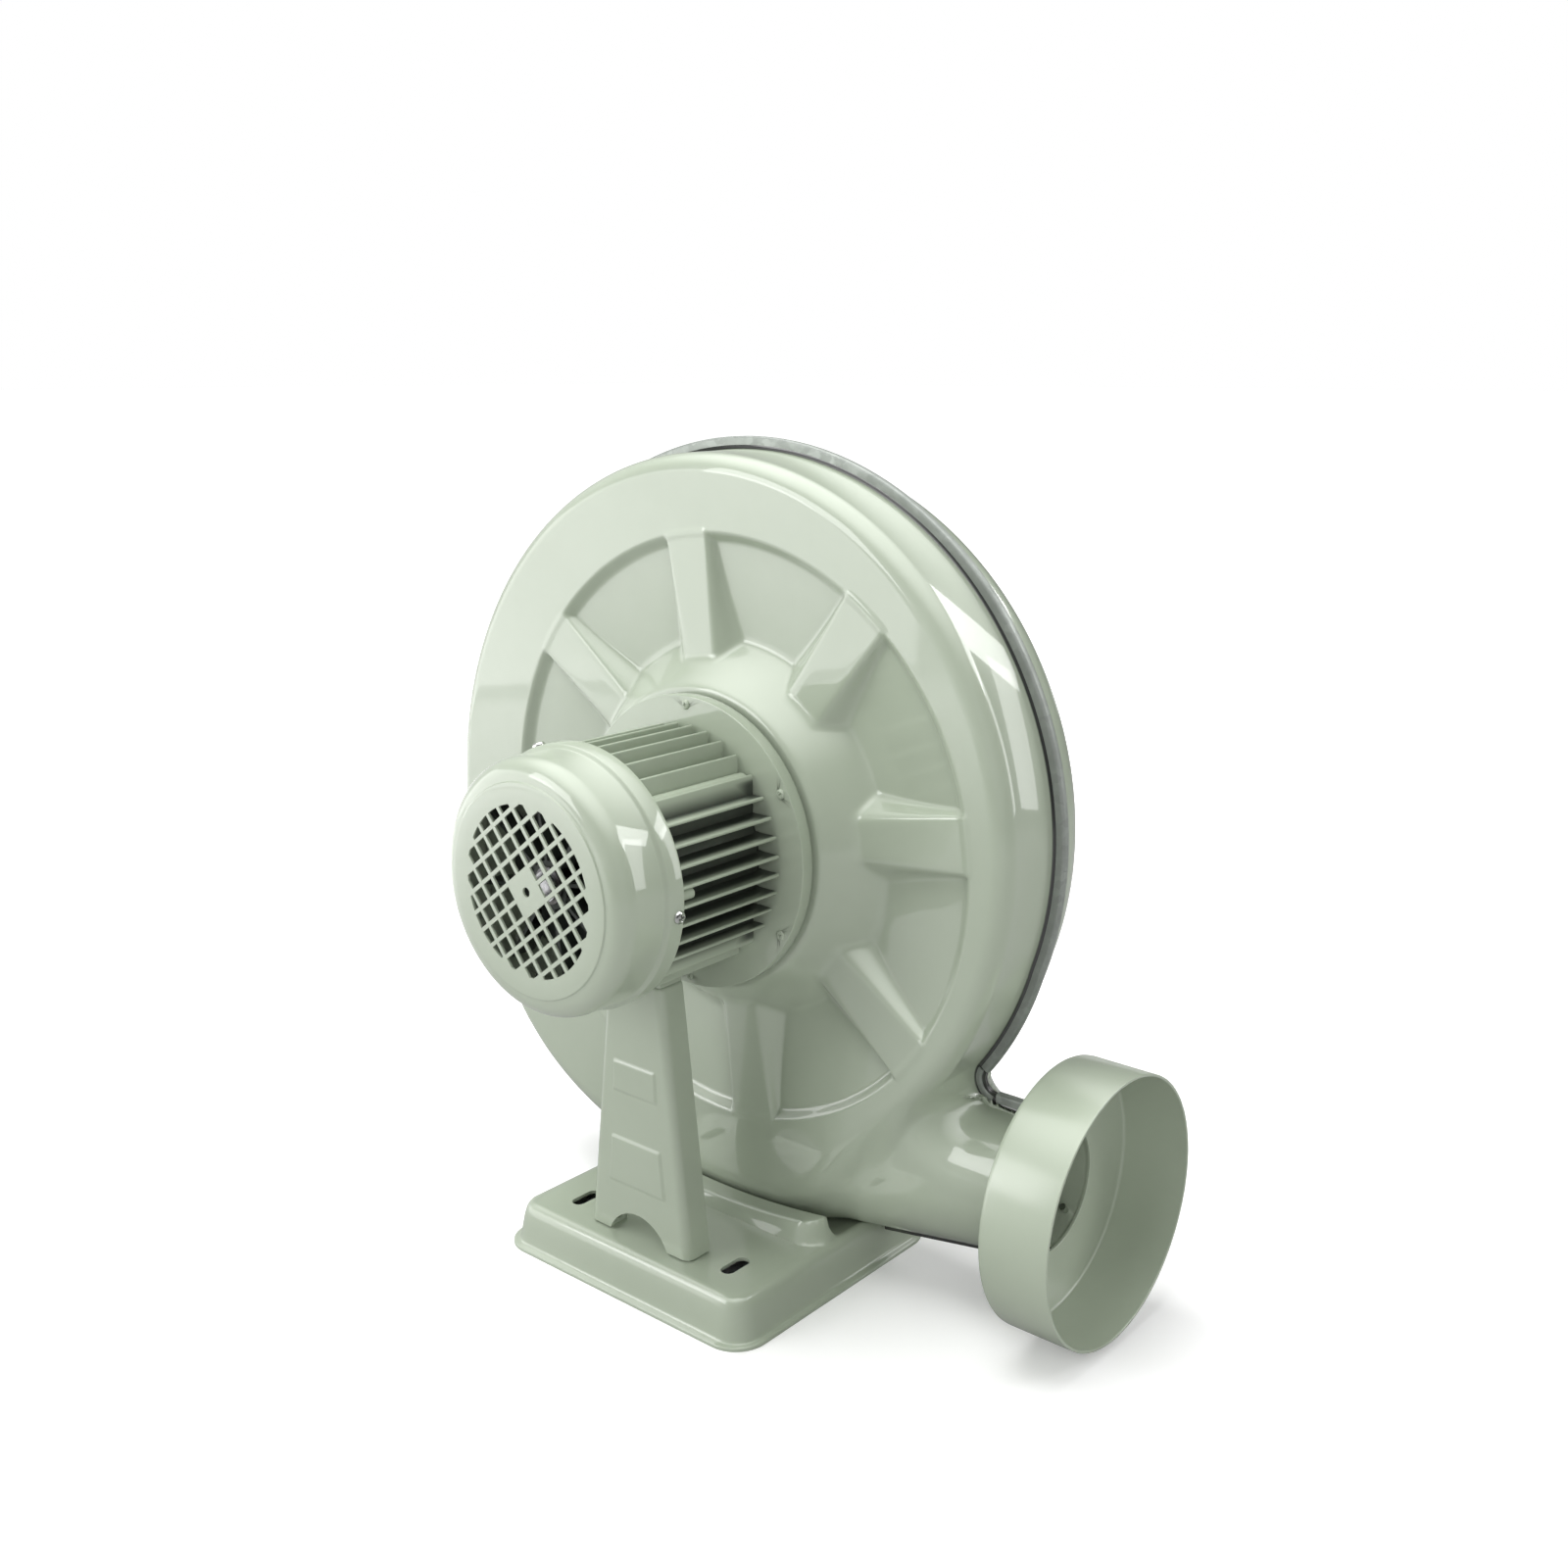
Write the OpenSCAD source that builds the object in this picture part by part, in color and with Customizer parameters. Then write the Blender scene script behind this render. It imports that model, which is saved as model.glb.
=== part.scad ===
// Centrifugal exhaust fan: a pressed steel scroll casing on a tray base, with a finned
// motor flanged to its front, a closed impeller inside and round duct collars.
// X points to the outlet, -Y to the motor, +Z up. The origin lies on the floor, under
// the shaft and midway between the two bolt slots of the base.

/* [Layout] */
// Clearance between the lowest point of the scroll wall and the floor
casing_clear = 11.15; // [10:0.05:25]
// Front face of the motor flange, measured back from the bolt slots
flange_y = 30; // [28:0.5:32]
// Depth from the motor flange face to the flat front of the casing
casing_gap = 26.5; // [25:0.5:30]
// Depth from the casing front to the seam
front_depth = 45; // [42:0.5:50]
// Depth from the seam to the casing back
back_depth = 38.5; // [38.5:0.5:46]

/* [Scroll casing] */
// Sheet thickness of the two casing shells
sheet_t = 1.5; // [1.2:0.1:2]
// Wall radius of the scroll at the tongue
scroll_r0 = 190; // [187:1:195]
// Radius that the scroll gains per degree
scroll_rate = 0.223; // [0.2:0.005:0.24]
// Angle at which the scroll starts to grow
grow_from = -15; // [-20:1:-5]
// Angle at which the scroll stops growing
grow_to = 222; // [215:1:230]
// Rise of the duct floor towards the outlet, in degrees
floor_rise = 9.9; // [8:0.1:11]
// Corner radius between the casing front and its wall
front_round = 15; // [10:1:16]
// Corner radius between the casing back and its wall
back_round = 24; // [15:1:26]
// Width of the flat rim between the casing wall and the pressed ring step
rim_w = 19; // [19:0.5:28]
// Depth of the ring step
step_d = 5; // [3:0.5:6]
// Radius of the hub cone at its foot
cone_foot_r = 110; // [106:1:115]
// Radius of the flat hub top
cone_top_r = 89; // [87:1:92]
// Number of radial ribs pressed into the front
rib_count = 8; // [6:1:10]
// Angle of the first rib above the outlet side
rib_turn = 8; // [0:1:20]
// Width of the flange that joins the two shells
seam_w = 6.5; // [5:0.5:8]
// Wall of the edging strip
strip_wall = 1.2; // [0.8:0.1:1.5]

/* [Outlet] */
// Outer radius of the round outlet tube
tube_r = 38; // [36:0.5:40]
// Reach of the tube end beyond the wall radius at the tongue
outlet_reach = 12; // [9:0.5:22]
// Concave radius at the notch between the scroll and the tube
notch_r = 14; // [11:0.5:18]
// Outer radius of the duct collars
duct_r = 75; // [70:0.5:76]
// Length of the outlet collar
collar_len = 41.5; // [30:0.5:60]
// Sheet thickness of the duct collars
collar_t = 1.6; // [1.2:0.1:2.5]
// Length of the collar sleeve over the tube
sleeve_len = 14; // [10:0.5:20]

/* [Inlet] */
// Length of the inlet collar
inlet_len = 36; // [25:0.5:50]
// Radius of the hole in the casing back
inlet_hole_r = 72; // [70:0.5:73]
// Circle radius of the inlet screws
inlet_screw_r = 84; // [82:0.5:88]

/* [Impeller] */
// Tip radius of the impeller
wheel_r = 160; // [150:1:163]
// Radius of the impeller eye
eye_r = 68; // [62:0.5:70]
// Sheet thickness of the impeller
wheel_t = 1.5; // [1:0.1:2]
// Number of blades
blade_count = 12; // [8:1:14]
// Blade height at the tip
tip_w = 34; // [28:0.5:38]
// Blade height at the eye
eye_w = 46; // [42:0.5:47]
// Gap between the casing floor and the impeller back plate
wheel_gap = 9; // [7:0.5:11]

/* [Motor] */
// Radius of the shaft at the bearings
shaft_r = 8.5; // [8:0.1:9]
// Outer radius of the ball bearings
bearing_r = 20; // [19:0.5:22]
// Width of the ball bearings
bearing_w = 12; // [10:0.5:14]
// Bore radius of the motor frame
frame_bore = 52; // [51:0.5:53]
// Wall of the motor frame
frame_wall = 4.5; // [4:0.25:6]
// Radius of the fin tips
fin_r = 69; // [67:0.5:70]
// Thickness of one fin
fin_t = 2.2; // [1.8:0.1:3]
// Pitch of the horizontal fins on the two sides
side_pitch = 10.2; // [9.8:0.1:10.6]
// Pitch of the vertical fins on the top and underside
top_pitch = 10.9; // [10.5:0.1:11.2]
// Length of the motor frame
frame_len = 77.5; // [76:0.5:84]
// Thickness of the rear end shield
shield_t = 9; // [8:0.5:11]
// Radius of the motor flange
flange_r = 84; // [83:0.5:87]
// Thickness of the motor flange
flange_t = 8; // [6:0.5:10]
// Circle radius of the flange screws
flange_screw_r = 79; // [76:0.5:80]
// Length of the stator and rotor cores
core_len = 36; // [30:0.5:37]
// Length of one end winding
winding_len = 12; // [8:0.5:12]
// Air gap between rotor and stator
air_gap = 0.6; // [0.3:0.1:1]

/* [Fan cowl] */
// Radius of the cowl rim
cowl_r = 71.4; // [71:0.2:74]
// Length of the cowl
cowl_len = 41.7; // [41.7:0.1:50]
// Length of the wider skirt at the cowl rim
skirt_len = 10.5; // [9:0.5:14]
// Step from the cowl side out to the skirt
cowl_step = 2.4; // [1.6:0.1:3]
// Sheet thickness of the cowl
cowl_t = 1.2; // [1:0.1:1.5]
// Radius of the round cowl edge
cowl_round = 14; // [10:0.5:15]
// Radius of the grille field
grille_r = 46; // [40:0.5:47]
// Width of one square grille hole
grille_hole = 7.6; // [6:0.1:8]
// Bar between two grille holes
grille_bar = 2.2; // [1.8:0.1:3]
// Turn of the grille, in degrees
grille_turn = 38; // [0:1:45]

/* [Base and leg] */
// Width of the base at the floor
base_w = 194; // [185:1:210]
// Distance from the bolt slots to the front edge of the base
base_front = 37.5; // [34:0.5:50]
// Distance from the bolt slots to the back edge of the base
base_back = 141; // [140:1:160]
// Height of the base tray
base_h = 26; // [22:0.5:26]
// Sheet thickness of the base tray
base_t = 2; // [1.5:0.1:3]
// Spacing of the two bolt slots
slot_spacing = 121; // [110:1:130]
// Length of a bolt slot
slot_len = 20; // [16:0.5:24]
// Width of a bolt slot
slot_w = 8.5; // [7:0.5:10]
// Height of the saddle above the floor
saddle_h = 40; // [38:0.5:44]
// Distance from the bolt slots to the saddle front
saddle_front = 39; // [38:0.5:44]
// Clearance between the casing and the saddle
saddle_gap = 0.3; // [0.2:0.05:0.5]
// Front face of the leg, measured back from the bolt slots
leg_front = -16; // [-18:0.5:-14]
// Depth of the leg channel
leg_depth = 18; // [16:0.5:22]
// Sheet thickness of the leg
leg_t = 2.5; // [2:0.1:3.5]
// Width of the leg at the foot
leg_foot_w = 79; // [72:0.5:90]
// Width of the leg at the top
leg_top_w = 42; // [38:0.5:46]

/* [Fasteners] */
// Thread radius of the self-tapping collar screws
tap_r = 1.9; // [1.5:0.1:2.1]
// Length of the self-tapping collar screws
tap_len = 8; // [6:0.5:10]
// Head radius of the self-tapping collar screws
tap_head_r = 3.8; // [3.2:0.1:4.2]
// Head height of the self-tapping collar screws
tap_head_h = 2.4; // [1.8:0.1:2.8]
// Thread radius of the motor screws
motor_screw_r = 2; // [1.5:0.1:2.2]
// Head radius of the motor screws
motor_head_r = 3.6; // [3:0.1:4]
// Head height of the motor screws
motor_head_h = 2.2; // [1.2:0.1:3]
// Thread radius of the screws at the foot of the leg
foot_screw_r = 2.5; // [2:0.1:3]
// Radius of the hexagon heads and nuts at the foot of the leg
foot_nut_r = 4.5; // [4:0.1:5.2]
// Height of the hexagon heads and nuts at the foot of the leg
foot_nut_h = 3.5; // [3:0.1:4.5]
// Thread radius of the casing bolts and the impeller bolt
casing_bolt_r = 3; // [2.5:0.1:3.2]
// Radius of the hexagon heads and nuts of the casing bolts
casing_nut_r = 5.5; // [5:0.1:6]
// Height of the hexagon heads and nuts of the casing bolts
casing_nut_h = 4; // [3:0.1:4.5]
// Clearance round a screw in its through hole
hole_gap = 0.2; // [0.1:0.05:0.3]

/* [Hidden] */

paint = [0.73, 0.77, 0.70];
steel = [0.66, 0.67, 0.68];
dark = [0.25, 0.26, 0.27];

$fn = 64;

// Scroll, shaft and duct heights
scroll_max = scroll_r0 + scroll_rate * (grow_to - grow_from);
shaft_h = casing_clear + scroll_max;
tube_end = scroll_r0 + outlet_reach;
outlet_h = shaft_h - scroll_max / cos(floor_rise) + tube_end * tan(floor_rise) + tube_r;
step_r = scroll_r0 - rim_w;
back_step_r = scroll_r0 - back_round - 3;

// Planes along the shaft
floor_fall = 4;
back_sink = 4;
casing_y = flange_y + casing_gap;
seam_y = casing_y + front_depth;
back_y = seam_y + back_depth;
hub_y = flange_y + flange_t;
floor_y = casing_y + step_d;
cone_y = floor_y + floor_fall;
back_floor_y = back_y - back_sink;

// Scroll and duct
tangent_a = 270 + floor_rise;
tube_top = outlet_h + tube_r;
notch_z = tube_top + notch_r;
notch_x = sqrt(pow(scroll_r0 + notch_r, 2) - pow(shaft_h - notch_z, 2));
notch_a = -atan2(shaft_h - notch_z, notch_x);
scroll_steps = 72;
sleeve_x = tube_end - sleeve_len;
edge_end = sleeve_x - 0.5;
room = 2 * scroll_max;
duct_flare = 6;
taper_in = 0.25;
web_d = 18;
sleeve_gap = 0.1;
collar_screws_n = 4;
collar_screw_turn = 45;
strip_reach = seam_w + 0.1;
strip_slot = 2 * sheet_t + 0.1;

// Motor stations along the shaft
frame_y = flange_y - frame_len;
cowl_y = frame_y - cowl_len;
cowl_screw_y = frame_y - 4;
front_bearing_y = flange_y - 6;
rear_bearing_y = frame_y - 3;
core_y = frame_y + (frame_len - core_len) / 2;
clip_y = frame_y - shield_t - 18;
fan_y = clip_y + 1.3;
fit_gap = 0.02;
wheel_shaft_r = shaft_r - 0.5;
core_shaft_r = shaft_r + 2;
rotor_r = frame_bore * 0.62;
seal_r = bearing_r - 3;
fan_r = cowl_r - cowl_step - cowl_t - 12;
fan_w = 15;
tie_r = frame_bore + frame_wall + 4;
tie_bolts_n = 4;
tie_turn = 45;
flange_screws_n = 6;
flange_screw_turn = 30;
cowl_screws_n = 3;
cowl_screw_turn = -6;
motor_screw_len = 8;
spigot_r = frame_bore - 6;
boss_wall = 6;
side_fins = 8;
top_fins = 10;
leg_screw_in = 7;
gland_y = frame_y + 20;
gland_r = 7;
skirt_at = cowl_len - skirt_len;
end_step = 0.6;
cowl_eye_r = 2.6;

// Impeller stations
plate_y = cone_y + sheet_t + wheel_gap;
hub_len = 30;
hub_r = 20;
hub_front = plate_y - 14;
hub_back = hub_front + hub_len;
hub_flange_r = 40;
hub_flange_t = 4;
rivet_circle_r = 31;
rivets_n = 6;
rivet_r = 2.5;
shaft_end = hub_back - 1;
key_w = 5;
key_len = 20;
key_y = shaft_end - key_len - 4;
washer_t = 2;
washer_r = 14;
wheel_bolt_len = 20;

// Inlet
cone_t = 1.5;
throat_r = eye_r - 4;
throat_y = plate_y + wheel_t + eye_w + 2;
bell_depth = back_floor_y - throat_y - 2;
inlet_screws_n = 8;
inlet_lip_r = inlet_screw_r + 8;

// Base and leg
pad_z = shaft_h - fin_r;
pad_w = leg_top_w;
foot_lip = 4;
foot_corner = 20;
saddle_half = 84;
strip_room = strip_slot + 2 * strip_wall + 2;
foot_screw_x = leg_foot_w / 2 - 8.5;
foot_screw_y = leg_front + leg_depth / 2 + 2;
leg_screw_x = 12;
arch_h = 16;
arch_r = 24.5;
panel_d = 0.8;
upper_panel = [116, 17, 134, 16];
lower_panel = [59, 22, 87, 19];
nut_gap = 0.3;
bolt_hole_in = 12;
saddle_bolt_a = [258, 274];
saddle_bolt_y = [seam_y - 13, seam_y + 11];

// Wall radius of the scroll at angle a
function scroll_r(a) = scroll_r0 + scroll_rate * (min(max(a, grow_from), grow_to) - grow_from);

// Points along the scroll, moved outwards by k
function scroll_pts(k) = [
    for (i = [0:scroll_steps])
        let (a = notch_a + i * (tangent_a - notch_a) / scroll_steps, r = scroll_r(a) + k)
            [r * cos(a), shaft_h + r * sin(a)]
];

// Concave arc at the notch, from the tube top round to the scroll
function notch_pts(k) = [
    for (i = [0:8])
        let (b = 270 - i * (90 - notch_a) / 8)
            [notch_x + (notch_r - k) * cos(b), notch_z + (notch_r - k) * sin(b)]
];

// Whole casing outline with the duct up to the collar sleeve, moved outwards by k
function casing_outline(k) = concat(
    scroll_pts(k),
    [[edge_end, outlet_h - tube_r - k], [edge_end, tube_top + k]],
    notch_pts(k)
);

// A plate standing in the XZ plane, from y0 over its thickness
module plate(y0, thick) {
    translate([0, y0 + thick, 0]) rotate([90, 0, 0]) linear_extrude(thick) children();
}

// A turned piece round the shaft from a profile of radius and distance behind y0
module turned(y0) {
    translate([0, y0, shaft_h]) rotate([-90, 0, 0]) rotate_extrude() children();
}

// A ring or disc round the shaft
module ring(y0, len, r_out, r_in = 0) {
    translate([0, y0, shaft_h]) rotate([-90, 0, 0]) difference() {
        cylinder(h = len, r = r_out);
        if (r_in > 0) translate([0, 0, -1]) cylinder(h = len + 2, r = r_in);
    }
}

// Copies round the shaft, each with its own local X pointing outwards
module around(count, start = 0) {
    for (i = [0:count - 1])
        translate([0, 0, shaft_h]) rotate([0, -start - i * 360 / count, 0]) children();
}

// A fastener along Y with its pan head at the front
module screw(y0, len, r, head_r, head_h) {
    translate([0, y0, 0]) rotate([-90, 0, 0]) cylinder(h = len, r = r, $fn = 24);
    translate([0, y0 - head_h, 0]) rotate([-90, 0, 0]) cylinder(h = head_h, r = head_r, $fn = 24);
}

// Casing

// Body of the front half inside its skin by t
module front_drum(t) {
    bend = front_round - t;
    hull() {
        for (f = [0:22.5:67.5])
            plate(casing_y + front_round - bend * cos(f), 1) polygon(scroll_pts(bend * sin(f) - front_round));
        plate(casing_y + front_round, front_depth - front_round + t) polygon(scroll_pts(-t));
    }
}

// Body of the back half inside its skin by t
module back_drum(t) {
    bend = back_round - t;
    hull() {
        for (f = [0:22.5:67.5])
            plate(back_y - back_round + bend * cos(f) - 1, 1) polygon(scroll_pts(bend * sin(f) - back_round));
        plate(seam_y - t, back_depth - back_round + t) polygon(scroll_pts(-t));
    }
}

// Duct that tapers from the scroll to the round outlet, inside its skin by t. The taper
// ends inside the straight tube, which goes on under the sleeve of the collar.
module duct(t) {
    start_x = (scroll_max - tube_r) * sin(floor_rise);
    start_z = shaft_h - (scroll_max - tube_r) * cos(floor_rise);
    hull() {
        translate([sleeve_x - 2, seam_y, outlet_h]) rotate([0, 90, 0])
            cylinder(h = 1.5, r = tube_r - taper_in - t, $fn = 48);
        for (z = [start_z, outlet_h + duct_flare])
            translate([start_x, seam_y, z]) rotate([0, 90, 0])
                cylinder(h = 1, r = tube_r - t, $fn = 48);
    }
    translate([sleeve_x - 1, seam_y, outlet_h]) rotate([0, 90, 0])
        cylinder(h = sleeve_len + 1 + t, r = tube_r - t);
}

// Half space in front of the seam, or behind it
module front_half() {
    translate([-room, seam_y - room, shaft_h - room]) cube([2 * room, room, 2 * room]);
}
module back_half() {
    translate([-room, seam_y, shaft_h - room]) cube([2 * room, room, 2 * room]);
}

// Wall that closes the concave corner between the scroll and the duct
module notch_web(t) {
    arc_r = notch_r + t;
    polygon(concat(
        [for (i = [0:7])
            let (b = 262 - i * (74 - notch_a) / 7) [notch_x + arc_r * cos(b), notch_z + arc_r * sin(b)]],
        [[(scroll_r0 - 12) * cos(notch_a), shaft_h + (scroll_r0 - 12) * sin(notch_a)],
         [notch_x - 34, tube_top - 24], [notch_x - 2, tube_top - 10]]
    ));
}

// Front face: ring step, sunken floor, hub cone and flat hub top
module front_face(t) {
    lean = 0.5 * t;
    turned(0) polygon([
        [0, hub_y + t], [cone_top_r - 2 - t, hub_y + t], [cone_top_r - t, hub_y + 2 + lean],
        [cone_foot_r - 3 - t, cone_y - 4 + lean], [cone_foot_r - lean, cone_y + t],
        [step_r - 5 + lean, floor_y + t], [step_r + lean, casing_y + t],
        [step_r + 3, casing_y + t], [step_r + 3, seam_y + t], [0, seam_y + t]
    ]);
}

// One rib: its top stays level with the casing front and its sides widen towards the hub
module rib(t) {
    rib_in = cone_foot_r - 12;
    rib_out = step_r + 1;
    top_in = 12.5 - t;
    top_out = 16 - t;
    foot_in = 28 - t;
    foot_out = 18 - t;
    hull() {
        translate([0, casing_y + t + 1, 0]) rotate([90, 0, 0]) linear_extrude(1)
            polygon([[rib_in, -top_in], [rib_out, -top_out], [rib_out, top_out], [rib_in, top_in]]);
        translate([0, cone_y + 3, 0]) rotate([90, 0, 0]) linear_extrude(1)
            polygon([[rib_in, -foot_in], [rib_out - 3, -foot_out],
                [rib_out - 3, foot_out], [rib_in, foot_in]]);
    }
}

module front_form(t) {
    difference() {
        front_drum(t);
        ring(casing_y - 1, 20 + t, step_r + 2);
    }
    front_face(t);
    around(rib_count, rib_turn) rib(t);
    intersection() {
        duct(t);
        front_half();
    }
    plate(seam_y - web_d + t, web_d) notch_web(t);
}

module front_shell() {
    color(paint) difference() {
        union() {
            intersection() {
                front_form(0);
                front_half();
            }
            plate(seam_y - sheet_t, sheet_t) polygon(casing_outline(seam_w));
        }
        front_form(sheet_t);
        duct(sheet_t);
        outlet_holes();
        ring(hub_y - 1, 10, spigot_r);
        around(flange_screws_n, flange_screw_turn) translate([flange_screw_r, 0, 0]) rotate([-90, 0, 0])
            translate([0, 0, hub_y - 1]) cylinder(h = 6, r = motor_screw_r + 3 * hole_gap, $fn = 16);
        saddle_bolt_holes();
    }
}

module back_form(t) {
    difference() {
        back_drum(t);
        ring(back_floor_y - t, 20, back_step_r + t * 0.5);
    }
    intersection() {
        duct(t);
        back_half();
    }
    plate(seam_y - t, web_d) notch_web(t);
}

module back_shell() {
    color(paint) difference() {
        union() {
            intersection() {
                back_form(0);
                back_half();
            }
            plate(seam_y, sheet_t) polygon(casing_outline(seam_w));
        }
        back_form(sheet_t);
        duct(sheet_t);
        outlet_holes();
        ring(back_y - 20, 30, inlet_hole_r);
        inlet_holes(back_y - 10);
        saddle_bolt_holes();
    }
}

// Band between two offsets of the casing edge, over a run of the scroll
function edge_band(pts_out, pts_in) = concat(pts_out, [for (i = [len(pts_in) - 1:-1:0]) pts_in[i]]);

module strip_section(outer, middle, inner) {
    plate(seam_y - strip_slot / 2, strip_slot) polygon(edge_band(outer, middle));
    for (s = [-1, 1])
        plate(seam_y + (s > 0 ? strip_slot / 2 : -strip_slot / 2 - strip_wall), strip_wall)
            polygon(edge_band(outer, inner));
}

module seam_strip() {
    color(steel) strip_section(
        scroll_pts(strip_reach + strip_wall), scroll_pts(strip_reach), scroll_pts(1)
    );
}

// Strip along the top of the duct, from the notch to the outlet collar
module outlet_seam_strip() {
    x0 = notch_x;
    x1 = edge_end;
    color(steel) strip_section(
        [[x0, tube_top + strip_reach + strip_wall], [x1, tube_top + strip_reach + strip_wall]],
        [[x0, tube_top + strip_reach], [x1, tube_top + strip_reach]],
        [[x0, tube_top + 2], [x1, tube_top + 2]]
    );
}

// Outlet and inlet collars

module outlet_collar() {
    sleeve_r = tube_r + sleeve_gap;
    color(paint) translate([tube_end, seam_y, outlet_h]) rotate([0, 90, 0]) difference() {
        union() {
            cylinder(h = collar_len, r = duct_r, $fn = 96);
            translate([0, 0, -sleeve_len]) cylinder(h = sleeve_len + 1, r = sleeve_r + collar_t);
        }
        translate([0, 0, collar_t]) cylinder(h = collar_len, r = duct_r - collar_t, $fn = 96);
        translate([0, 0, -sleeve_len - 1]) cylinder(h = sleeve_len + 1, r = sleeve_r);
        translate([0, 0, -1]) cylinder(h = collar_len, r = tube_r - sheet_t - 0.7);
        rotate([0, -90, 0]) translate([-tube_end, -seam_y, -outlet_h]) outlet_holes();
    }
}

// Copies round the outlet tube, each with its own local Z pointing outwards
module around_tube() {
    for (i = [0:collar_screws_n - 1])
        translate([sleeve_x + sleeve_len / 2, seam_y, outlet_h])
            rotate([collar_screw_turn + i * 360 / collar_screws_n, 0, 0]) children();
}

// Radial holes through the sleeve and the tube
module outlet_holes() {
    around_tube() cylinder(h = tube_r + tap_len + 2, r = tap_r + 0.05, $fn = 24);
}

module outlet_screws() {
    seat = tube_r + sleeve_gap + collar_t;
    color(steel) around_tube() {
        translate([0, 0, seat - tap_len]) cylinder(h = tap_len, r = tap_r, $fn = 24);
        translate([0, 0, seat]) cylinder(h = tap_head_h, r = tap_head_r, $fn = 24);
    }
}

// Inlet parts on the casing back

// Stationary bell mouth that leads the air into the impeller eye
module inlet_cone() {
    seat = back_floor_y;
    color(paint) difference() {
        turned(0) polygon(concat(
            [[inlet_lip_r, seat], [inlet_hole_r - 0.5, seat]],
            [for (f = [0:15:90])
                [throat_r + cone_t + (inlet_hole_r - 0.5 - throat_r - cone_t) * (1 - sin(f)),
                 seat - bell_depth * (1 - cos(f))]],
            [[throat_r + cone_t, throat_y], [throat_r, throat_y]],
            [for (f = [90:-15:0])
                [throat_r + (inlet_hole_r - 0.5 - throat_r) * (1 - sin(f)),
                 seat + cone_t - bell_depth * (1 - cos(f))]],
            [[inlet_lip_r, seat + cone_t]]
        ));
        inlet_holes(seat - 1);
    }
}

module inlet_holes(y0) {
    around(inlet_screws_n) translate([inlet_screw_r, y0, 0]) rotate([-90, 0, 0])
        cylinder(h = tap_len, r = tap_r + hole_gap, $fn = 24);
}

module inlet_collar() {
    seat = back_floor_y + cone_t;
    color(paint) difference() {
        union() {
            ring(seat, inlet_len, duct_r, duct_r - collar_t);
            ring(seat, collar_t, inlet_lip_r, duct_r - 0.5);
        }
        inlet_holes(seat - 1);
    }
}

module inlet_screws() {
    color(steel) around(inlet_screws_n)
        translate([inlet_screw_r, back_floor_y + cone_t + collar_t, 0]) {
            translate([0, -tap_len, 0]) rotate([-90, 0, 0]) cylinder(h = tap_len, r = tap_r, $fn = 20);
            rotate([-90, 0, 0]) cylinder(h = tap_head_h, r = tap_head_r, $fn = 20);
        }
}

// Motor

// Front end shield: the round flange that carries the front bearing
module motor_flange() {
    color(paint) difference() {
        union() {
            ring(flange_y, flange_t, flange_r, spigot_r);
            ring(flange_y - 3, flange_t + 3, frame_bore - 0.1, spigot_r);
            ring(flange_y, 5, spigot_r + 1);
            ring(front_bearing_y - 2, bearing_w + 7, bearing_r + boss_wall);
        }
        ring(front_bearing_y - 3, bearing_w + 3, bearing_r + fit_gap);
        ring(front_bearing_y, 30, seal_r + fit_gap);
        around(flange_screws_n, flange_screw_turn) translate([flange_screw_r, flange_y - 1, 0])
            rotate([-90, 0, 0]) cylinder(h = flange_t + 2, r = motor_screw_r + hole_gap, $fn = 24);
        tie_holes(flange_y - 1, motor_screw_r + 0.05);
    }
}

module flange_screws() {
    color(steel) around(flange_screws_n, flange_screw_turn) translate([flange_screw_r, 0, 0])
        screw(flange_y, flange_t + 6, motor_screw_r, motor_head_r - 0.4, motor_head_h - 1);
}

module tie_holes(y0, r) {
    around(tie_bolts_n, tie_turn) translate([tie_r, y0, 0]) rotate([-90, 0, 0])
        cylinder(h = 2 * frame_len, r = r, $fn = 24);
}

// Length of a fin from the shaft axis to the round envelope of the fin tips
function fin_reach(off) = sqrt(pow(fin_r, 2) - pow(off, 2));

module motor_frame() {
    barrel_r = frame_bore + frame_wall;
    color(paint) difference() {
        union() {
            ring(frame_y, frame_len, barrel_r);
            for (i = [-side_fins / 2 + 0.5:1:side_fins / 2 - 0.5]) {
                z = i * side_pitch;
                reach = fin_reach(abs(z) + fin_t / 2);
                translate([-reach, frame_y, shaft_h + z - fin_t / 2])
                    cube([2 * reach, frame_len, fin_t]);
            }
            for (i = [-top_fins / 2 + 0.5:1:top_fins / 2 - 0.5]) {
                x = i * top_pitch;
                reach = fin_reach(abs(x) + fin_t / 2);
                translate([x - fin_t / 2, frame_y, shaft_h - reach])
                    cube([fin_t, frame_len, 2 * reach]);
            }
            around(tie_bolts_n, tie_turn) translate([tie_r, frame_y, 0]) rotate([-90, 0, 0])
                cylinder(h = frame_len, r = motor_screw_r + 3, $fn = 32);
            translate([-pad_w / 2, leg_front, pad_z]) cube([pad_w, leg_depth, fin_r - frame_bore]);
        }
        ring(frame_y - 1, frame_len + 2, frame_bore);
        tie_holes(frame_y - 1, motor_screw_r + hole_gap);
        for (x = [-leg_screw_x, leg_screw_x])
            translate([x, leg_front + leg_depth / 2, pad_z - 1])
                cylinder(h = leg_screw_in + 2, r = motor_screw_r + 0.05, $fn = 24);
        translate([-fin_r - 4, gland_y, shaft_h]) rotate([0, 90, 0])
            cylinder(h = fin_r, r = gland_r + 0.1, $fn = 32);
    }
}

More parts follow.
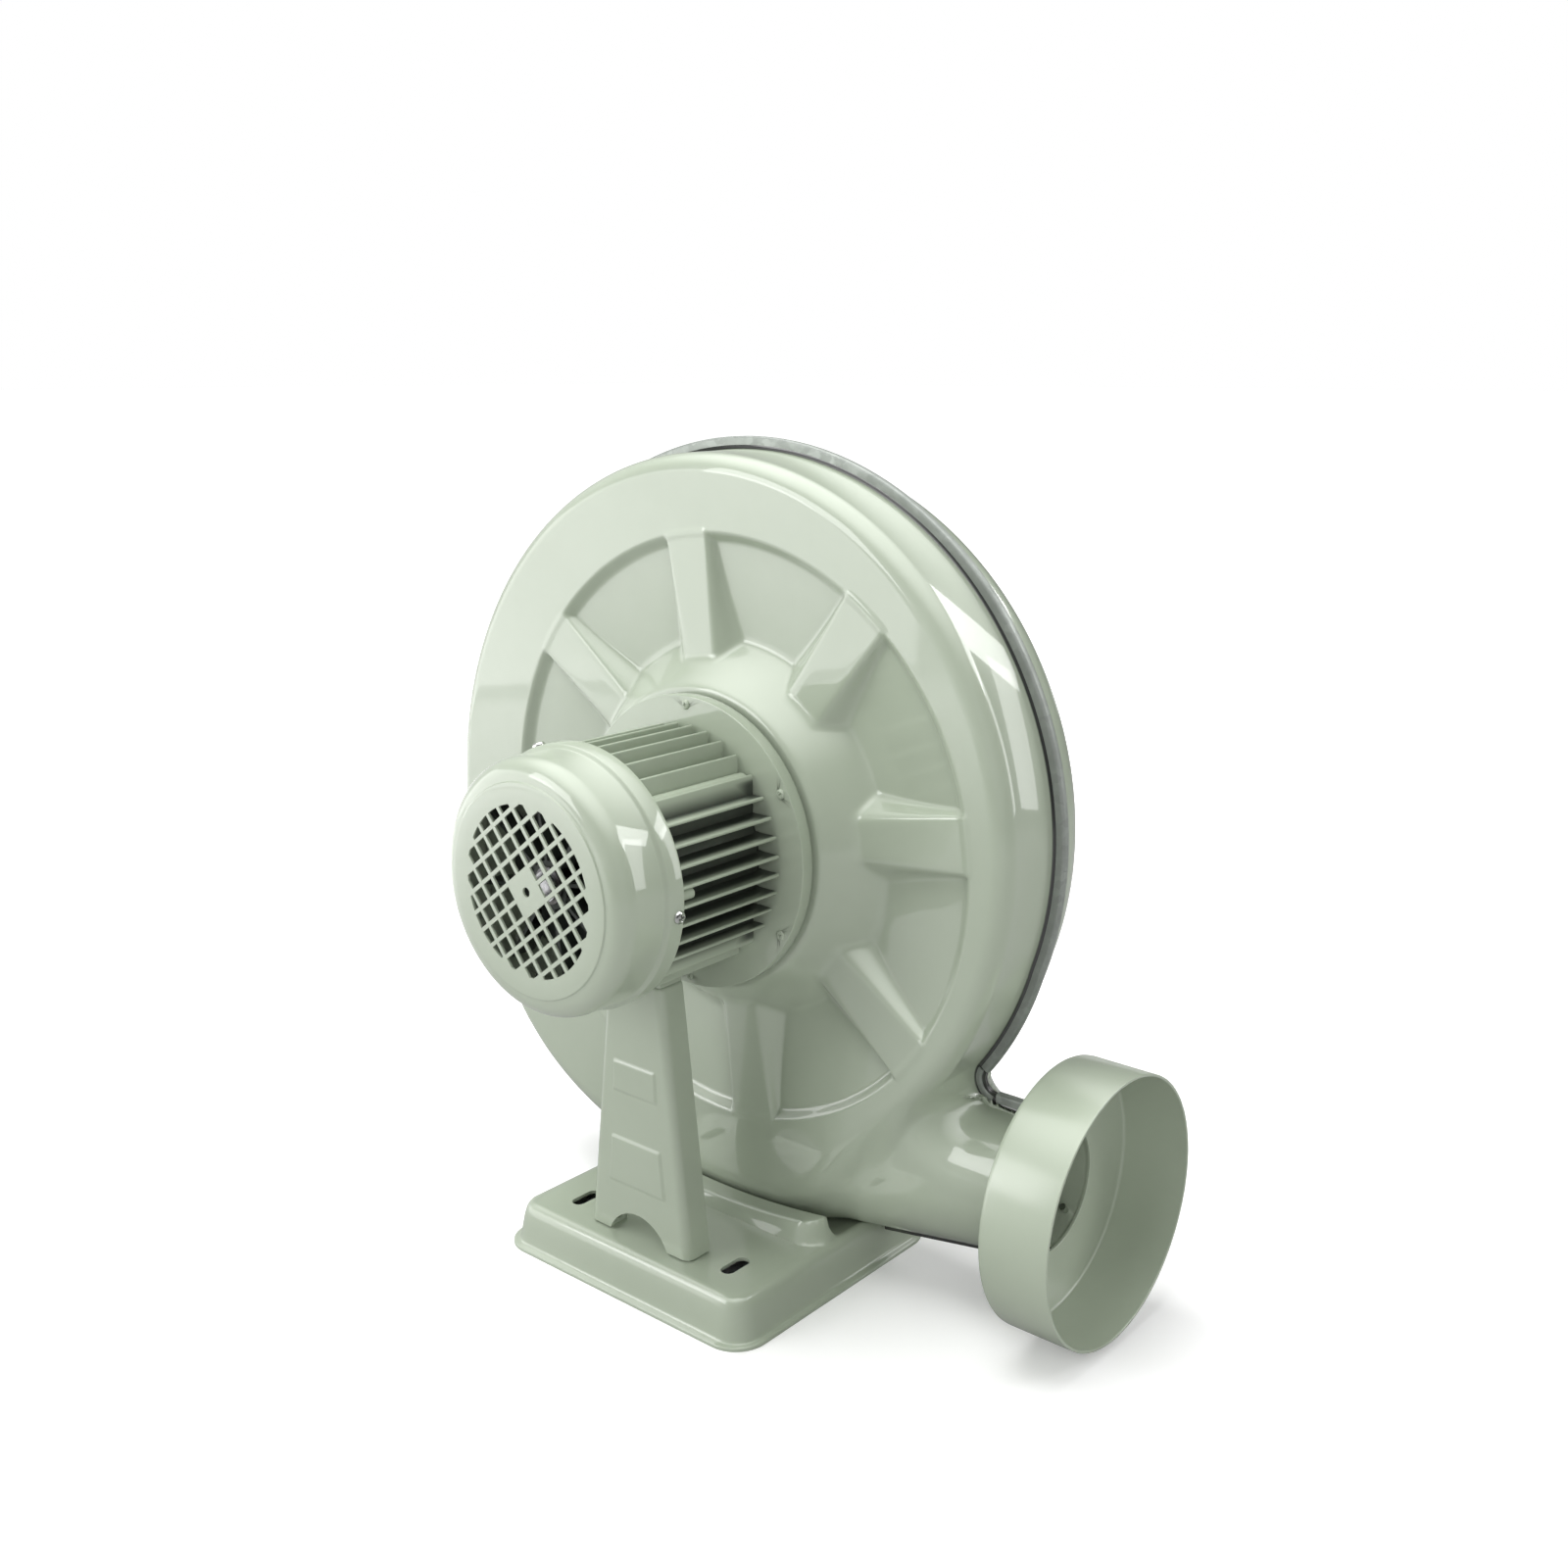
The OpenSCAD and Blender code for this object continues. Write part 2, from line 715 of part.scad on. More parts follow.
module rear_shield() {
    rim_r = cowl_r - cowl_t - 0.2;
    color(paint) difference() {
        union() {
            ring(frame_y - shield_t, shield_t, rim_r, spigot_r);
            ring(frame_y - 4, 7, frame_bore - 0.1, spigot_r);
            ring(frame_y - 5, 5, spigot_r + 1);
            ring(rear_bearing_y - 4, bearing_w + 4, bearing_r + boss_wall);
            translate([fin_r - 3.5, frame_y, shaft_h + 0.8]) rotate([-90, 0, 0])
                cylinder(h = 10.5, r = 3, $fn = 32);
        }
        ring(rear_bearing_y - 2, bearing_w + 4, bearing_r + fit_gap);
        ring(rear_bearing_y - 6, 10, 13);
        tie_holes(frame_y - 2 * shield_t, motor_screw_r + hole_gap);
        cowl_holes(motor_screw_r + 0.05, rim_r - motor_screw_len - 1);
    }
}

// Radial holes for the cowl screws
module cowl_holes(r, from) {
    around(cowl_screws_n, cowl_screw_turn) translate([from, cowl_screw_y, 0]) rotate([0, 90, 0])
        cylinder(h = cowl_r - from + 5, r = r, $fn = 24);
}

module cowl_screws() {
    color(steel) around(cowl_screws_n, cowl_screw_turn) translate([cowl_r, cowl_screw_y, 0])
        rotate([0, 90, 0]) {
            translate([0, 0, -motor_screw_len]) cylinder(h = motor_screw_len, r = motor_screw_r, $fn = 24);
            cylinder(h = motor_head_h, r = motor_head_r, $fn = 24);
        }
}

module tie_bolts() {
    head_y = frame_y - shield_t;
    color(steel) around(tie_bolts_n, tie_turn) translate([tie_r, head_y, 0]) rotate([-90, 0, 0]) {
        cylinder(h = frame_len + shield_t + flange_t, r = motor_screw_r, $fn = 24);
        translate([0, 0, -motor_head_h]) cylinder(h = motor_head_h, r = motor_head_r, $fn = 6);
    }
}

module fan_cowl() {
    side_r = cowl_r - cowl_step;
    end_r = side_r - cowl_round;
    bend = cowl_round - cowl_t;
    color(paint) difference() {
        turned(cowl_y) polygon(concat(
            [[0, 0], [end_r - 1, 0]],
            [for (f = [0:10:90]) [end_r + cowl_round * sin(f), cowl_round * (1 - cos(f)) + end_step]],
            [[side_r, skirt_at - 1.5], [cowl_r, skirt_at + 0.5], [cowl_r, cowl_len],
             [cowl_r - cowl_t, cowl_len], [cowl_r - cowl_t, skirt_at + 1],
             [side_r - cowl_t, skirt_at - 1]],
            [for (f = [90:-10:0]) [end_r + bend * sin(f), cowl_t + bend * (1 - cos(f)) + end_step]],
            [[0, cowl_t + end_step]]
        ));
        grille();
        ring(cowl_y - 1, 6, cowl_eye_r);
        cowl_holes(motor_screw_r + hole_gap, side_r - 4);
    }
}

// Square holes on a turned grid, cut off by the round edge of the field and left out
// round the middle
module grille() {
    pitch = grille_hole + grille_bar;
    reach = ceil(grille_r / pitch);
    plate(cowl_y - 1, 5) intersection() {
        translate([0, shaft_h]) circle(r = grille_r, $fn = 96);
        translate([0, shaft_h]) rotate(grille_turn)
            for (i = [-reach:reach - 1], j = [-reach:reach - 1])
                if (max(abs(i + 0.5), abs(j + 0.5)) > 1
                    && norm([i + 0.5, j + 0.5]) * pitch < grille_r + 1)
                    translate([(i + 0.5) * pitch, (j + 0.5) * pitch])
                        square(grille_hole, center = true);
    }
}

module stator_core() {
    color(steel) ring(core_y, core_len, frame_bore - 0.02, rotor_r + air_gap);
}

module stator_windings() {
    color([0.72, 0.4, 0.2]) for (y0 = [core_y - winding_len, core_y + core_len])
        ring(y0, winding_len, frame_bore - 7, rotor_r + 3.5);
}

module rotor_core() {
    color(steel) ring(core_y, core_len, rotor_r, core_shaft_r + 0.02);
}

module rotor_end_rings() {
    color([0.8, 0.81, 0.83]) for (y0 = [core_y - 6, core_y + core_len])
        ring(y0, 6, rotor_r - 1, rotor_r - 12);
}

module shaft() {
    y_fan = frame_y - shield_t - 20;
    color([0.7, 0.71, 0.72]) difference() {
        union() {
            ring(y_fan, shaft_end - y_fan, wheel_shaft_r);
            ring(rear_bearing_y - 5, front_bearing_y + bearing_w + 5 - rear_bearing_y, shaft_r);
            ring(rear_bearing_y + bearing_w, front_bearing_y - rear_bearing_y - bearing_w, core_shaft_r);
        }
        ring(shaft_end - wheel_bolt_len - 1, wheel_bolt_len + 2, casing_bolt_r + 0.05);
        translate([-key_w / 2 - fit_gap, key_y - fit_gap, shaft_h + wheel_shaft_r - key_w / 2])
            cube([key_w + 2 * fit_gap, key_len + 2 * fit_gap, 2 * key_w]);
        ring(clip_y, 1.05, wheel_shaft_r + 1, wheel_shaft_r - 0.8);
    }
}

ball_r = 3.2;
race_r = (shaft_r + bearing_r) / 2;

module bearing_outer_rings() {
    color([0.78, 0.79, 0.8]) for (y0 = [front_bearing_y, rear_bearing_y]) difference() {
        ring(y0, bearing_w, bearing_r, race_r + 1.9);
        turned(y0 + bearing_w / 2) translate([race_r, 0]) circle(r = ball_r + 0.08, $fn = 32);
    }
}

module bearing_inner_rings() {
    color([0.78, 0.79, 0.8]) for (y0 = [front_bearing_y, rear_bearing_y]) difference() {
        ring(y0, bearing_w, race_r - 1.9, shaft_r + 0.01);
        turned(y0 + bearing_w / 2) translate([race_r, 0]) circle(r = ball_r + 0.02, $fn = 32);
    }
}

module bearing_balls() {
    color([0.85, 0.86, 0.87]) for (y0 = [front_bearing_y, rear_bearing_y])
        around(8) translate([race_r, y0 + bearing_w / 2, 0]) sphere(r = ball_r, $fn = 24);
}

module wave_washer() {
    color(steel) ring(rear_bearing_y - 1.6, 1.4, bearing_r - 0.3, bearing_r - 4);
}

module shaft_seal() {
    color(dark) ring(front_bearing_y + bearing_w + 0.2, 4.5, seal_r, shaft_r + 0.1);
}

module cooling_fan() {
    y0 = fan_y;
    color(dark) difference() {
        union() {
            ring(y0, fan_w, 13);
            ring(y0 + fan_w - 2, 2, fan_r - 14);
            around(8, 10) translate([11, y0, -1]) cube([fan_r - 11, fan_w, 2]);
        }
        ring(y0 - 1, fan_w + 2, wheel_shaft_r + 0.02);
        ring(y0 - 1, 5, 10);
    }
}

module fan_clip() {
    color(steel) ring(clip_y + 0.02, 1, wheel_shaft_r + 2, wheel_shaft_r - 0.75);
}

module cable_gland() {
    barrel_r = frame_bore + frame_wall;
    color(dark) translate([-fin_r - 12, gland_y, shaft_h]) rotate([0, 90, 0]) difference() {
        union() {
            cylinder(h = 12 + fin_r - barrel_r - 1, r = gland_r, $fn = 32);
            translate([0, 0, 2]) cylinder(h = 9, r = gland_r + 2.5, $fn = 6);
            cylinder(h = 3, r = gland_r - 1, $fn = 32);
        }
        translate([0, 0, -1]) cylinder(h = 12, r = 4, $fn = 24);
    }
}

// Impeller

module impeller_hub() {
    color([0.78, 0.79, 0.8]) difference() {
        union() {
            ring(hub_front, hub_len, hub_r);
            ring(plate_y - hub_flange_t, hub_flange_t, hub_flange_r);
        }
        ring(hub_front - 1, hub_len + 2, wheel_shaft_r + fit_gap);
        translate([-key_w / 2 - fit_gap, hub_front - 1, shaft_h])
            cube([key_w + 2 * fit_gap, hub_len + 2, wheel_shaft_r + key_w / 2 + 0.1]);
        rivet_holes();
    }
}

// Holes of the rivets through the hub flange and the back plate
module rivet_holes() {
    around(rivets_n) translate([rivet_circle_r, plate_y - hub_flange_t - 1, 0]) rotate([-90, 0, 0])
        cylinder(h = hub_flange_t + wheel_t + 2, r = rivet_r + fit_gap, $fn = 24);
}

module hub_rivets() {
    head_r = rivet_r * 1.7;
    head_h = rivet_r * 0.65;
    color(steel) around(rivets_n) translate([rivet_circle_r, 0, 0]) {
        screw(plate_y - hub_flange_t, hub_flange_t + wheel_t, rivet_r, head_r, head_h);
        translate([0, plate_y + wheel_t, 0]) rotate([-90, 0, 0]) cylinder(h = head_h, r = head_r, $fn = 24);
    }
}

module impeller_plate() {
    color([0.72, 0.74, 0.75]) difference() {
        ring(plate_y, wheel_t, wheel_r, hub_r + fit_gap);
        rivet_holes();
    }
}

// Centre line angle of a blade at radius r, swept back from the eye to the tip
function blade_a(r) = -34 * pow((r - eye_r) / (wheel_r - eye_r), 1.15);

module impeller_blades() {
    steps = 8;
    radii = [for (i = [0:steps]) eye_r + 3 + i * (wheel_r - eye_r - 4) / steps];
    front = plate_y + wheel_t;
    color([0.72, 0.74, 0.75]) intersection() {
        for (b = [0:blade_count - 1])
            translate([0, 0, shaft_h]) rotate([0, b * 360 / blade_count, 0])
                plate(front, eye_w) polygon(concat(
                    [for (r = radii) [r * cos(blade_a(r)), r * sin(blade_a(r))]],
                    [for (i = [steps:-1:0])
                        let (r = radii[i], a = blade_a(r) + wheel_t * 60 / r)
                            [r * cos(a), r * sin(a)]]
                ));
        turned(front) polygon([
            [eye_r, 0], [wheel_r, 0], [wheel_r, tip_w], [eye_r, eye_w]
        ]);
    }
}

module impeller_shroud() {
    color([0.72, 0.74, 0.75]) turned(plate_y + wheel_t) polygon([
        [wheel_r, tip_w], [wheel_r, tip_w + wheel_t], [eye_r + wheel_t, eye_w + wheel_t],
        [eye_r + wheel_t, eye_w + 5], [eye_r, eye_w + 5], [eye_r, eye_w]
    ]);
}

module shaft_key() {
    color(steel) translate([-key_w / 2, key_y, shaft_h + wheel_shaft_r - key_w / 2])
        cube([key_w, key_len, key_w]);
}

module impeller_washer() {
    color(steel) ring(hub_back, washer_t, washer_r, casing_bolt_r + hole_gap);
}

module impeller_bolt() {
    y0 = hub_back + washer_t;
    color(steel) {
        ring(y0 - wheel_bolt_len, wheel_bolt_len, casing_bolt_r);
        translate([0, y0, shaft_h]) rotate([-90, 0, 0])
            cylinder(h = casing_nut_h, r = casing_nut_r, $fn = 6);
    }
}

// Base and leg

// Upright posts at the four corners of a rounded plate
module corner_posts(half_w, y0, y1, r, z, h = 0.1) {
    for (x = [-half_w + r, half_w - r], y = [y0 + r, y1 - r])
        translate([x, y, z]) cylinder(h = h, r = r, $fn = 32);
}

// Tray body inside its skin by t
module tray_body(t) {
    low = t > 0 ? -1 : 0;
    hull() {
        corner_posts(base_w / 2 - foot_lip - t, -base_front + foot_lip - 1 + t,
            base_back - foot_lip + 1 - t, 18 - t, low);
        corner_posts(base_w / 2 - 9 - t, -base_front + 2.8 + t, base_back - 2.8 - t, 17 - t, base_h - 5);
        corner_posts(base_w / 2 - 12.5 - t, -base_front + 5.5 + t, base_back - 5.5 - t, 14, base_h - t - 0.1);
    }
}

// Raised saddle in front of and beside the casing, inside its skin by t
module saddle_body(t) {
    half = saddle_half - t;
    reach = saddle_half + 10;
    intersection() {
        hull() {
            corner_posts(half + 2, saddle_front + t, base_back - 16 - t, 17, t > 0 ? -1 : base_h - 3);
            corner_posts(half, saddle_front + 2.5 + t, base_back - 18 - t, 15, saddle_h + 5);
        }
        plate(0, base_back) polygon(concat(
            [[-reach, -2], [reach, -2]],
            [for (x = [reach:-10:-reach])
                [x, saddle_h - 6.5 - t + pow(x, 2) / 1000]]
        ));
    }
}

// Room that the casing takes, grown by g: round drum and the rising duct floor
module casing_room(g) {
    r = scroll_max + g;
    fr = front_round;
    br = back_round;
    turned(0) polygon(concat(
        [[0, casing_y - g]],
        [for (f = [0:15:90]) [r - (fr + g) + (fr + g) * sin(f), casing_y + fr - (fr + g) * cos(f)]],
        [for (f = [90:-15:0])
            [r - (br + g) + (br + g) * sin(f), back_y - br + (br + g) * cos(f)]],
        [[0, back_y + g]]
    ));
    translate([(scroll_max - tube_r) * sin(floor_rise), seam_y,
        shaft_h - (scroll_max - tube_r) * cos(floor_rise)])
        rotate([0, 90 - floor_rise, 0]) cylinder(h = base_w / 2, r = tube_r + g);
}

module base_plate() {
    color(paint) difference() {
        union() {
            difference() {
                union() {
                    linear_extrude(base_t) foot_outline();
                    tray_body(0);
                    saddle_body(0);
                }
                tray_body(base_t);
                saddle_body(base_t);
            }
            intersection() {
                union() {
                    tray_body(0);
                    saddle_body(0);
                }
                casing_room(saddle_gap + base_t);
            }
        }
        casing_room(saddle_gap);
        plate(seam_y - strip_room / 2, strip_room)
            polygon(casing_outline(strip_reach + strip_wall + 1));
        for (x = [-slot_spacing / 2, slot_spacing / 2]) slot(x);
        for (x = [-foot_screw_x, foot_screw_x])
            translate([x, foot_screw_y, 0]) cylinder(h = 2 * saddle_h, r = foot_screw_r + hole_gap, $fn = 24);
        saddle_bolt_holes();
    }
}

module foot_outline() {
    r = foot_corner;
    for (x = [-base_w / 2 + r, base_w / 2 - r], y = [-base_front + r, base_back - r])
        translate([x, y]) circle(r = r);
    translate([-base_w / 2 + r, -base_front]) square([base_w - 2 * r, base_front + base_back]);
    translate([-base_w / 2, -base_front + r]) square([base_w, base_front + base_back - 2 * r]);
}

// Slotted hole along Y for one anchor bolt
module slot(x) {
    half = (slot_len - slot_w) / 2;
    for (y = [-half, half]) translate([x, y, 0]) cylinder(h = 2 * saddle_h, r = slot_w / 2);
    translate([x - slot_w / 2, -half, 0]) cube([slot_w, 2 * half, 2 * saddle_h]);
}

// Radial holes of the bolts between casing and saddle
module saddle_bolt_holes() {
    for (a = saddle_bolt_a, y = saddle_bolt_y)
        translate([0, y, shaft_h]) rotate([0, -a, 0]) translate([scroll_max - bolt_hole_in, 0, 0])
            rotate([0, 90, 0]) cylinder(h = 2 * bolt_hole_in, r = casing_bolt_r + hole_gap, $fn = 24);
}

module saddle_bolts() {
    outside = scroll_max + saddle_gap + base_t;
    inside = scroll_max - sheet_t - nut_gap;
    color(steel) for (a = saddle_bolt_a, y = saddle_bolt_y)
        translate([0, y, shaft_h]) rotate([0, -a, 0]) {
            translate([inside - casing_nut_h - 1, 0, 0]) rotate([0, 90, 0])
                cylinder(h = outside - inside + casing_nut_h + 1, r = casing_bolt_r, $fn = 24);
            for (z = [outside, inside - casing_nut_h])
                translate([z, 0, 0]) rotate([0, 90, 0]) cylinder(h = casing_nut_h, r = casing_nut_r, $fn = 6);
        }
}

// Channel body of the leg inside its skin by t
module leg_body(t) {
    r = 5;
    back = leg_front + leg_depth + (t > 0 ? 5 : 0);
    top = pad_z - t;
    levels = [[leg_foot_w / 2, base_h - (t > 0 ? 1 : 0)], [leg_top_w / 2, top - 0.1]];
    hull() for (level = levels, s = [-1, 1]) {
        translate([s * (level[0] - r), leg_front + r, level[1]]) cylinder(h = 0.1, r = r - t, $fn = 32);
        translate([s * (level[0] - t) - 0.05, back - 0.1, level[1]]) cube([0.1, 0.1, 0.1]);
    }
}

// Raised panel on the leg front, given as lower and upper height and half width
module leg_panel(p) {
    plate(leg_front - panel_d, panel_d + 0.5)
        polygon([[-p[1], p[0]], [p[1], p[0]], [p[3], p[2]], [-p[3], p[2]]]);
}

module support_leg() {
    tab_in = leg_foot_w / 2 - 15;
    tab_y = leg_front + leg_t;
    color(paint) difference() {
        union() {
            difference() {
                leg_body(0);
                leg_body(leg_t);
                translate([0, leg_front - 5, base_h + arch_h - arch_r]) rotate([-90, 0, 0])
                    cylinder(h = leg_depth + 10, r = arch_r);
            }
            intersection() {
                leg_body(0);
                for (s = [-1, 1])
                    translate([s > 0 ? tab_in : -leg_foot_w / 2, tab_y - 1, base_h])
                        cube([leg_foot_w / 2 - tab_in, leg_depth - leg_t + 1, leg_t]);
            }
            leg_panel(upper_panel);
            leg_panel(lower_panel);
        }
        for (x = [-foot_screw_x, foot_screw_x])
            translate([x, foot_screw_y, 0]) cylinder(h = 2 * saddle_h, r = foot_screw_r + hole_gap, $fn = 24);
        for (x = [-leg_screw_x, leg_screw_x])
            translate([x, leg_front + leg_depth / 2, pad_z - 10])
                cylinder(h = 20, r = motor_screw_r + hole_gap, $fn = 24);
    }
}

module leg_foot_screws() {
    color(steel) for (x = [-foot_screw_x, foot_screw_x]) translate([x, foot_screw_y, 0]) {
        translate([0, 0, base_h - base_t - foot_nut_h - 2])
            cylinder(h = leg_t + base_t + foot_nut_h + 2, r = foot_screw_r, $fn = 24);
        for (z = [base_h + leg_t, base_h - base_t - foot_nut_h])
            translate([0, 0, z]) cylinder(h = foot_nut_h, r = foot_nut_r, $fn = 6);
    }
}

module leg_top_screws() {
    color(steel) for (x = [-leg_screw_x, leg_screw_x])
        translate([x, leg_front + leg_depth / 2, pad_z - leg_t]) {
            cylinder(h = leg_t + leg_screw_in, r = motor_screw_r, $fn = 24);
            translate([0, 0, -motor_head_h]) cylinder(h = motor_head_h, r = motor_head_r, $fn = 6);
        }
}

base_plate();
support_leg();
leg_foot_screws();
leg_top_screws();
front_shell();
back_shell();
seam_strip();
outlet_seam_strip();
saddle_bolts();
outlet_collar();
outlet_screws();
inlet_collar();
inlet_cone();
inlet_screws();
motor_flange();
flange_screws();
motor_frame();
rear_shield();
tie_bolts();
stator_core();
stator_windings();
rotor_core();
rotor_end_rings();
shaft();
bearing_outer_rings();
bearing_inner_rings();
bearing_balls();
wave_washer();
shaft_seal();
cooling_fan();
fan_clip();
fan_cowl();
cowl_screws();
cable_gland();
impeller_hub();
hub_rivets();
impeller_plate();
impeller_blades();
impeller_shroud();
shaft_key();
impeller_washer();
impeller_bolt();
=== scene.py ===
import math

import bmesh
import bpy
import numpy as np
from mathutils import Matrix, Vector


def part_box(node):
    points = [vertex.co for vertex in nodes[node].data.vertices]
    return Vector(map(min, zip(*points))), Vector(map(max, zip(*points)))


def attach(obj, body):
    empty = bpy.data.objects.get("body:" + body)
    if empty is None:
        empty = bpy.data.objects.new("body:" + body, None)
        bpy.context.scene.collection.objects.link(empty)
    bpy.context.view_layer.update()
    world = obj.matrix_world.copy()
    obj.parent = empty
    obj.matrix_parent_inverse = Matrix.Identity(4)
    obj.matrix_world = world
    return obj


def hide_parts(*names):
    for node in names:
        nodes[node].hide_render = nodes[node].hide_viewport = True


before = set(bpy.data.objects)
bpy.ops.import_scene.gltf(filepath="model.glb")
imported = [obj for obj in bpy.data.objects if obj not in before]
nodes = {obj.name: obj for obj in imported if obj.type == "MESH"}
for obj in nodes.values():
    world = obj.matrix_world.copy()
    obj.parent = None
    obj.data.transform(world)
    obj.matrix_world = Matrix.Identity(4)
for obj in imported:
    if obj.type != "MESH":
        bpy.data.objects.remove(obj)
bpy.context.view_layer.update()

MM = 0.001

# Camera
# A long look from the front right and a little above, as in the photograph.


def in_scene(name, data, spot=(0, 0, 0), turn=(0, 0, 0)):
    """A new object of that data, put in the scene."""
    thing = bpy.data.objects.new(name, data)
    thing.location = spot
    thing.rotation_euler = turn
    bpy.context.scene.collection.objects.link(thing)
    return thing


camera_data = bpy.data.cameras.new("camera")
camera_data.lens = 37.92
camera_data.sensor_width = 36
camera_spot = (0.61797, -0.61513, 0.51208)
look_down = 14.107
look_left = 40.304
camera_turn = (math.radians(90 - look_down), 0, math.radians(look_left))
bpy.context.scene.camera = in_scene("camera", camera_data, camera_spot, camera_turn)


# Base plate
# A tray pressed from 2 mm steel sheet, with a small out-turned foot edge, two slots for the
# anchor bolts and a raised saddle that cradles the casing. It is stove enamelled, like the
# whole machine, in a glossy pale green-grey with a slight orange peel.


class Value:
    """A node's output, which can be reckoned with like a number."""

    def __init__(self, tree, socket):
        self.tree = tree
        self.socket = socket

    def __add__(self, other):
        return math_node("ADD", self, other)

    def __sub__(self, other):
        return math_node("SUBTRACT", self, other)

    def __rsub__(self, other):
        return math_node("SUBTRACT", other, self)

    def __mul__(self, other):
        return math_node("MULTIPLY", self, other)

    def __abs__(self):
        return math_node("ABSOLUTE", self)


def feed(tree, socket, value):
    """Gives a socket a number, a colour or another node's value."""
    if isinstance(value, Value):
        tree.links.new(value.socket, socket)
    else:
        socket.default_value = value


def new_node(tree, kind, inputs, output=0, **settings):
    """Adds a node with its settings and inputs, and gives back one of its outputs."""
    node = tree.nodes.new(kind)
    for label, value in settings.items():
        setattr(node, label, value)
    for label, value in inputs.items():
        feed(tree, node.inputs[label], value)
    return Value(tree, node.outputs[output])


def math_node(kind, *values):
    """A math node on numbers and values, of which one at least is a value."""
    tree = next(value.tree for value in values if isinstance(value, Value))
    return new_node(tree, "ShaderNodeMath", dict(enumerate(values)), operation=kind)


def noise(vector, scale, detail, roughness=0.5):
    """A noise texture on a vector."""
    return new_node(vector.tree, "ShaderNodeTexNoise", {
        "Vector": vector, "Scale": scale, "Detail": detail, "Roughness": roughness}, "Fac")


def ramp(value, low, high):
    """A value eased from 0 at low to 1 at high."""
    return new_node(value.tree, "ShaderNodeMapRange", {
        "Value": value, "From Min": low, "From Max": high}, "Result", interpolation_type="SMOOTHSTEP")


def mix_color(factor, a, b):
    """A mix of two colours."""
    return new_node(factor.tree, "ShaderNodeMix", {0: factor, 6: a, 7: b}, 2, data_type="RGBA")


def place(tree):
    """Object coordinates, which follow the body that a piece rides on."""
    return new_node(tree, "ShaderNodeTexCoord", {}, "Object")


def outputs_of(tree, node):
    """All outputs of a node by name."""
    return {socket.name: Value(tree, socket) for socket in node.outputs}


def group_tree(name, inputs, outputs):
    """A shader node group with its input values by name, and the sockets of its output node."""
    tree = bpy.data.node_groups.new(name, "ShaderNodeTree")
    kinds = {1: "NodeSocketFloat", 3: "NodeSocketVector", 4: "NodeSocketColor"}
    for label, value in {"Vector": (0, 0, 0), **inputs}.items():
        socket = tree.interface.new_socket(label, in_out="INPUT", socket_type=kinds[np.size(value)])
        socket.default_value = value
    for label in outputs:
        kind = kinds[4 if label == "Color" else 1]
        tree.interface.new_socket(label, in_out="OUTPUT", socket_type=kind)
    into = outputs_of(tree, tree.nodes.new("NodeGroupInput"))
    return tree, into, tree.nodes.new("NodeGroupOutput").inputs


def orange_peel_group():
    """Height of the slow ripple and the fine pips of sprayed enamel."""
    tree, into, out = group_tree("orange_peel", {"Pip Scale": 300.0, "Ripple": 1.0}, ["Height"])
    pips = noise(into["Vector"], into["Pip Scale"], 2.0)
    ripple = noise(into["Vector"], 45.0, 1.0)
    feed(tree, out["Height"], pips * 0.4 + ripple * into["Ripple"])
    return tree


def soiling_group():
    """Colour and roughness that drift a little over a surface, as handling leaves them."""
    tree, into, out = group_tree("soiling", {
        "Color": (1, 1, 1, 1), "Shade": (0, 0, 0, 1), "Roughness": 0.4, "Spread": 0.05, "Scale": 12.0,
    }, ["Color", "Roughness"])
    clouds = noise(into["Vector"], into["Scale"], 5.0, 0.6)
    feed(tree, out["Color"], mix_color(ramp(clouds, 0.35, 0.65), into["Color"], into["Shade"]))
    feed(tree, out["Roughness"], into["Roughness"] + (clouds - 0.5) * into["Spread"])
    return tree


ORANGE_PEEL = orange_peel_group()
SOILING = soiling_group()


def effect(group, at, **values):
    """The outputs, by name, of an effect group that is placed at a vector and set."""
    node = at.tree.nodes.new("ShaderNodeGroup")
    node.node_tree = group
    for name, value in {"Vector": at, **values}.items():
        feed(at.tree, node.inputs[name.replace("_", " ")], value)
    return outputs_of(at.tree, node)


def new_material(name, **plain):
    """An unwired material whose shader has these plain numbers: (material, its tree)."""
    material = bpy.data.materials.new(name)
    material.use_nodes = True
    shader = material.node_tree.nodes["Principled BSDF"]
    for label, value in plain.items():
        shader.inputs[label.replace("_", " ")].default_value = value
    return material, material.node_tree


def wired(material, tone, height, distance):
    """The material with the colour and roughness of its tone and a bump fed to its shader."""
    tree = material.node_tree
    bump = new_node(tree, "ShaderNodeBump", {"Distance": distance, "Strength": 1.0, "Height": height})
    for label, value in (("Base Color", tone["Color"]), ("Roughness", tone["Roughness"]), ("Normal", bump)):
        feed(tree, tree.nodes["Principled BSDF"].inputs[label], value)
    return material


enamel_color = (0.372, 0.424, 0.334, 1)
enamel_shade = (0.352, 0.404, 0.314, 1)


def enamel_material(name, roughness=0.32, coat=0.9, peel=0.00003, pips=420.0, ripple=1.0, blur=0.04):
    """Gloss stoving enamel over sheet steel or cast metal."""
    material, tree = new_material(
        name, Coat_Weight=coat, Coat_Roughness=blur, Coat_IOR=1.65, Specular_IOR_Level=0.35)
    at = place(tree)
    tone = effect(SOILING, at, Color=enamel_color, Shade=enamel_shade, Roughness=roughness,
                  Spread=0.08, Scale=9.0)
    skin = effect(ORANGE_PEEL, at, Pip_Scale=pips, Ripple=ripple)
    return wired(material, tone, skin["Height"], peel)


